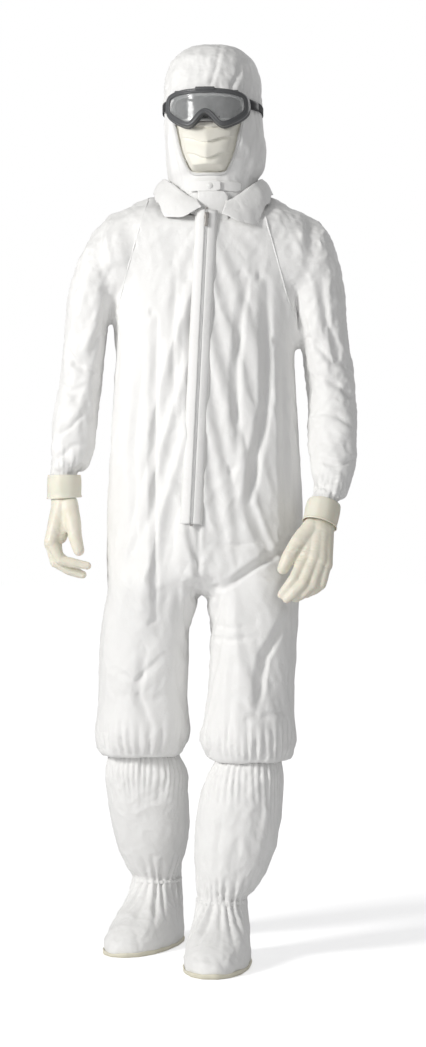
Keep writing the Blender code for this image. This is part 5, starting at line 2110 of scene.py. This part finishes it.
# %% Goggle rim and lens
RIM = (
    (0.000, 1.7045),
    (0.045, 1.7035),
    (0.070, 1.6985),
    (0.0805, 1.688),
    (0.0815, 1.664),
    (0.070, 1.648),
    (0.048, 1.634),
    (0.032, 1.630),
    (0.020, 1.637),
    (0.010, 1.648),
    (0.000, 1.6545),
)
RIM_SECTION = (
    (0.0000, 0.0090),
    (0.0006, 0.0052),
    (0.0022, 0.0030),
    (0.0042, 0.0022),
    (0.0050, 0.0030),
    (0.0058, 0.0020),
    (0.0078, 0.0006),
    (0.0092, 0.0008),
    (0.0098, 0.0024),
    (0.0098, 0.0060),
    (0.0086, 0.0075),
    (0.0086, 0.0220),
    (0.0070, 0.0280),
    (0.0010, 0.0290),
    (-0.0012, 0.0275),
    (-0.0012, 0.0245),
    (0.0010, 0.0225),
    (0.0018, 0.0150),
)


def goggle_y(x, depth):
    return -0.1560 + x * x / 0.160 + depth


def inwards(line, i):
    along = line[(i + 2) % len(line)] - line[i - 2]
    return Vector((along.z, 0, -along.x)).normalized()


rim_line = closed_outline(RIM, 140)
rings = []
for i, p in enumerate(rim_line):
    inner = inwards(rim_line, i)
    ring = []
    for inset, depth in RIM_SECTION:
        q = p + inner * inset
        ring.append(Vector((q.x, goggle_y(q.x, depth), q.z)))
    rings.append(ring)
rim = make_object("goggle_rim", loft(rings, joined=True), rim_material, head_place)
subdivide(rim)
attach(rim, "goggles")
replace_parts(rim, "goggle_frame")

lens_line = [p + inwards(rim_line, i) * 0.0088 for i, p in enumerate(rim_line)]
lens_middle = Vector((0, 0, 1.672))
rings = []
for depth, shares in ((0.0046, (0.04, 0.35, 0.65, 0.88, 1.0)), (0.0062, (1.0, 0.88, 0.65, 0.35, 0.04))):
    for share in shares:
        ring = []
        for p in lens_line:
            q = lens_middle.lerp(p, share)
            ring.append(Vector((q.x, goggle_y(q.x, depth), q.z)))
        rings.append(ring)
lens = make_object("lens_pane", loft(rings, cap_start=True, cap_end=True), lens_material, head_place)
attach(lens, "goggles")
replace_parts(lens, "goggle_lens")

bm = bmesh.new()
add_block(bm, (-0.019, -0.1548, 1.7000), (0.019, -0.1420, 1.7062), 0.0022)
for x in (-0.058, -0.046, 0.046, 0.058):
    add_block(bm, (x - 0.0042, goggle_y(x, 0.011), 1.6975), (x + 0.0042, goggle_y(x, 0.023), 1.7035), 0.0012)
brow = make_object("brow_vents", bm, rim_material, head_place)
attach(brow, "goggles")

# %% [markdown]
# The strap is a woven elastic that runs from clip to clip round the outside of the hood.

# %% Strap, clips and adjuster
STRAP_HALF = (0.0988, 0.1270)
STRAP_BACK = 0.1233


def strap_at(angle):
    c, s = math.cos(angle), math.sin(angle)
    x = math.copysign(abs(c) ** (2 / 2.2), c) * STRAP_HALF[0]
    y = min(math.copysign(abs(s) ** (2 / 2.2), s) * STRAP_HALF[1], STRAP_BACK)
    out = Vector((x / STRAP_HALF[0] ** 2, y / STRAP_HALF[1] ** 2, 0)).normalized()
    return Vector((x, y, STRAP_Z)), Vector((0, 1, 0)) if y >= STRAP_BACK else out


def hood_band(start, end, steps, section):
    rings = []
    for i in range(steps + 1):
        t = i / steps
        middle, out = strap_at(math.radians(lerp(start, end, t)))
        rings.append([middle + out * a + Vector((0, 0, b)) for a, b in section(t)])
    return loft(rings, cap_start=True, cap_end=True)


def strap_section(t):
    half, wall = 0.0080, 0.0009
    rib = 0.0001 * math.cos(t * 900)
    points = []
    for a, b in ((-1, -0.9), (-0.6, -1), (0.6, -1), (1, -0.9)):
        points.append((a * wall + rib, b * half))
    for k in range(1, 8):
        b = -0.9 + 1.8 * k / 8
        points.append((wall * (1.12 if k % 2 else 0.95) + rib, b * half))
    for a, b in ((1, 0.9), (0.6, 1), (-0.6, 1), (-1, 0.9)):
        points.append((a * wall + rib, b * half))
    return points


strap = make_object("head_strap", hood_band(-19.6, 199.6, 150, strap_section), strap_material, head_place)
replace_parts(strap, "goggle_strap")
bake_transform(strap)


def clip_section(t):
    half = lerp(0.0098, 0.0088, t)
    wall = 0.0018 + 0.0009 * math.sin(math.pi * t)
    shape = ((-1, -0.8), (-0.5, -1), (0.5, -1), (1, -0.8), (1.25, -0.4), (1.0, 0.0), (1.25, 0.4), (1, 0.8), (0.5, 1), (-0.5, 1), (-1, 0.8))
    return [(a * wall, b * half) for a, b in shape]


for name, side in SIDES:
    bm = hood_band(-37, -20, 14, clip_section)
    if side < 0:
        bmesh.ops.scale(bm, vec=(-1, 1, 1), verts=bm.verts)
        bmesh.ops.reverse_faces(bm, faces=bm.faces)
    clip = make_object("strap_clip_" + name, bm, black_material, head_place)
    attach(clip, "goggles")
    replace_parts(clip, "goggle_clip_" + name)

bm = bmesh.new()
for x in (-0.0082, 0.0, 0.0082):
    add_block(bm, (x - 0.0010, 0.0012, -0.0112), (x + 0.0010, 0.0032, 0.0112), 0.0004)
    add_block(bm, (x - 0.0010, -0.0032, -0.0112), (x + 0.0010, -0.0014, 0.0112), 0.0004)
for z in (-0.0103, 0.0103):
    add_block(bm, (-0.0092, -0.0032, z - 0.0012), (0.0092, 0.0032, z + 0.0012), 0.0005)
buckle_place = head_place @ Matrix.Translation((0, STRAP_BACK, STRAP_Z))
buckle = make_object("strap_buckle", bm, black_material, buckle_place)
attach(buckle, "adjuster")
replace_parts(buckle, "strap_adjuster")

# %% [markdown]
# ## Cloth areas
# Every cloth piece is cut flat before it is sewn; the area of each sleeve and of one face of each zip tape is
# printed.

for name, side in SIDES:
    tape_area = round(surface_area(tapes[name]) / 2, 4)
    print(name, "sleeve", round(surface_area(sleeve_objects[name]), 3), "tape", tape_area)
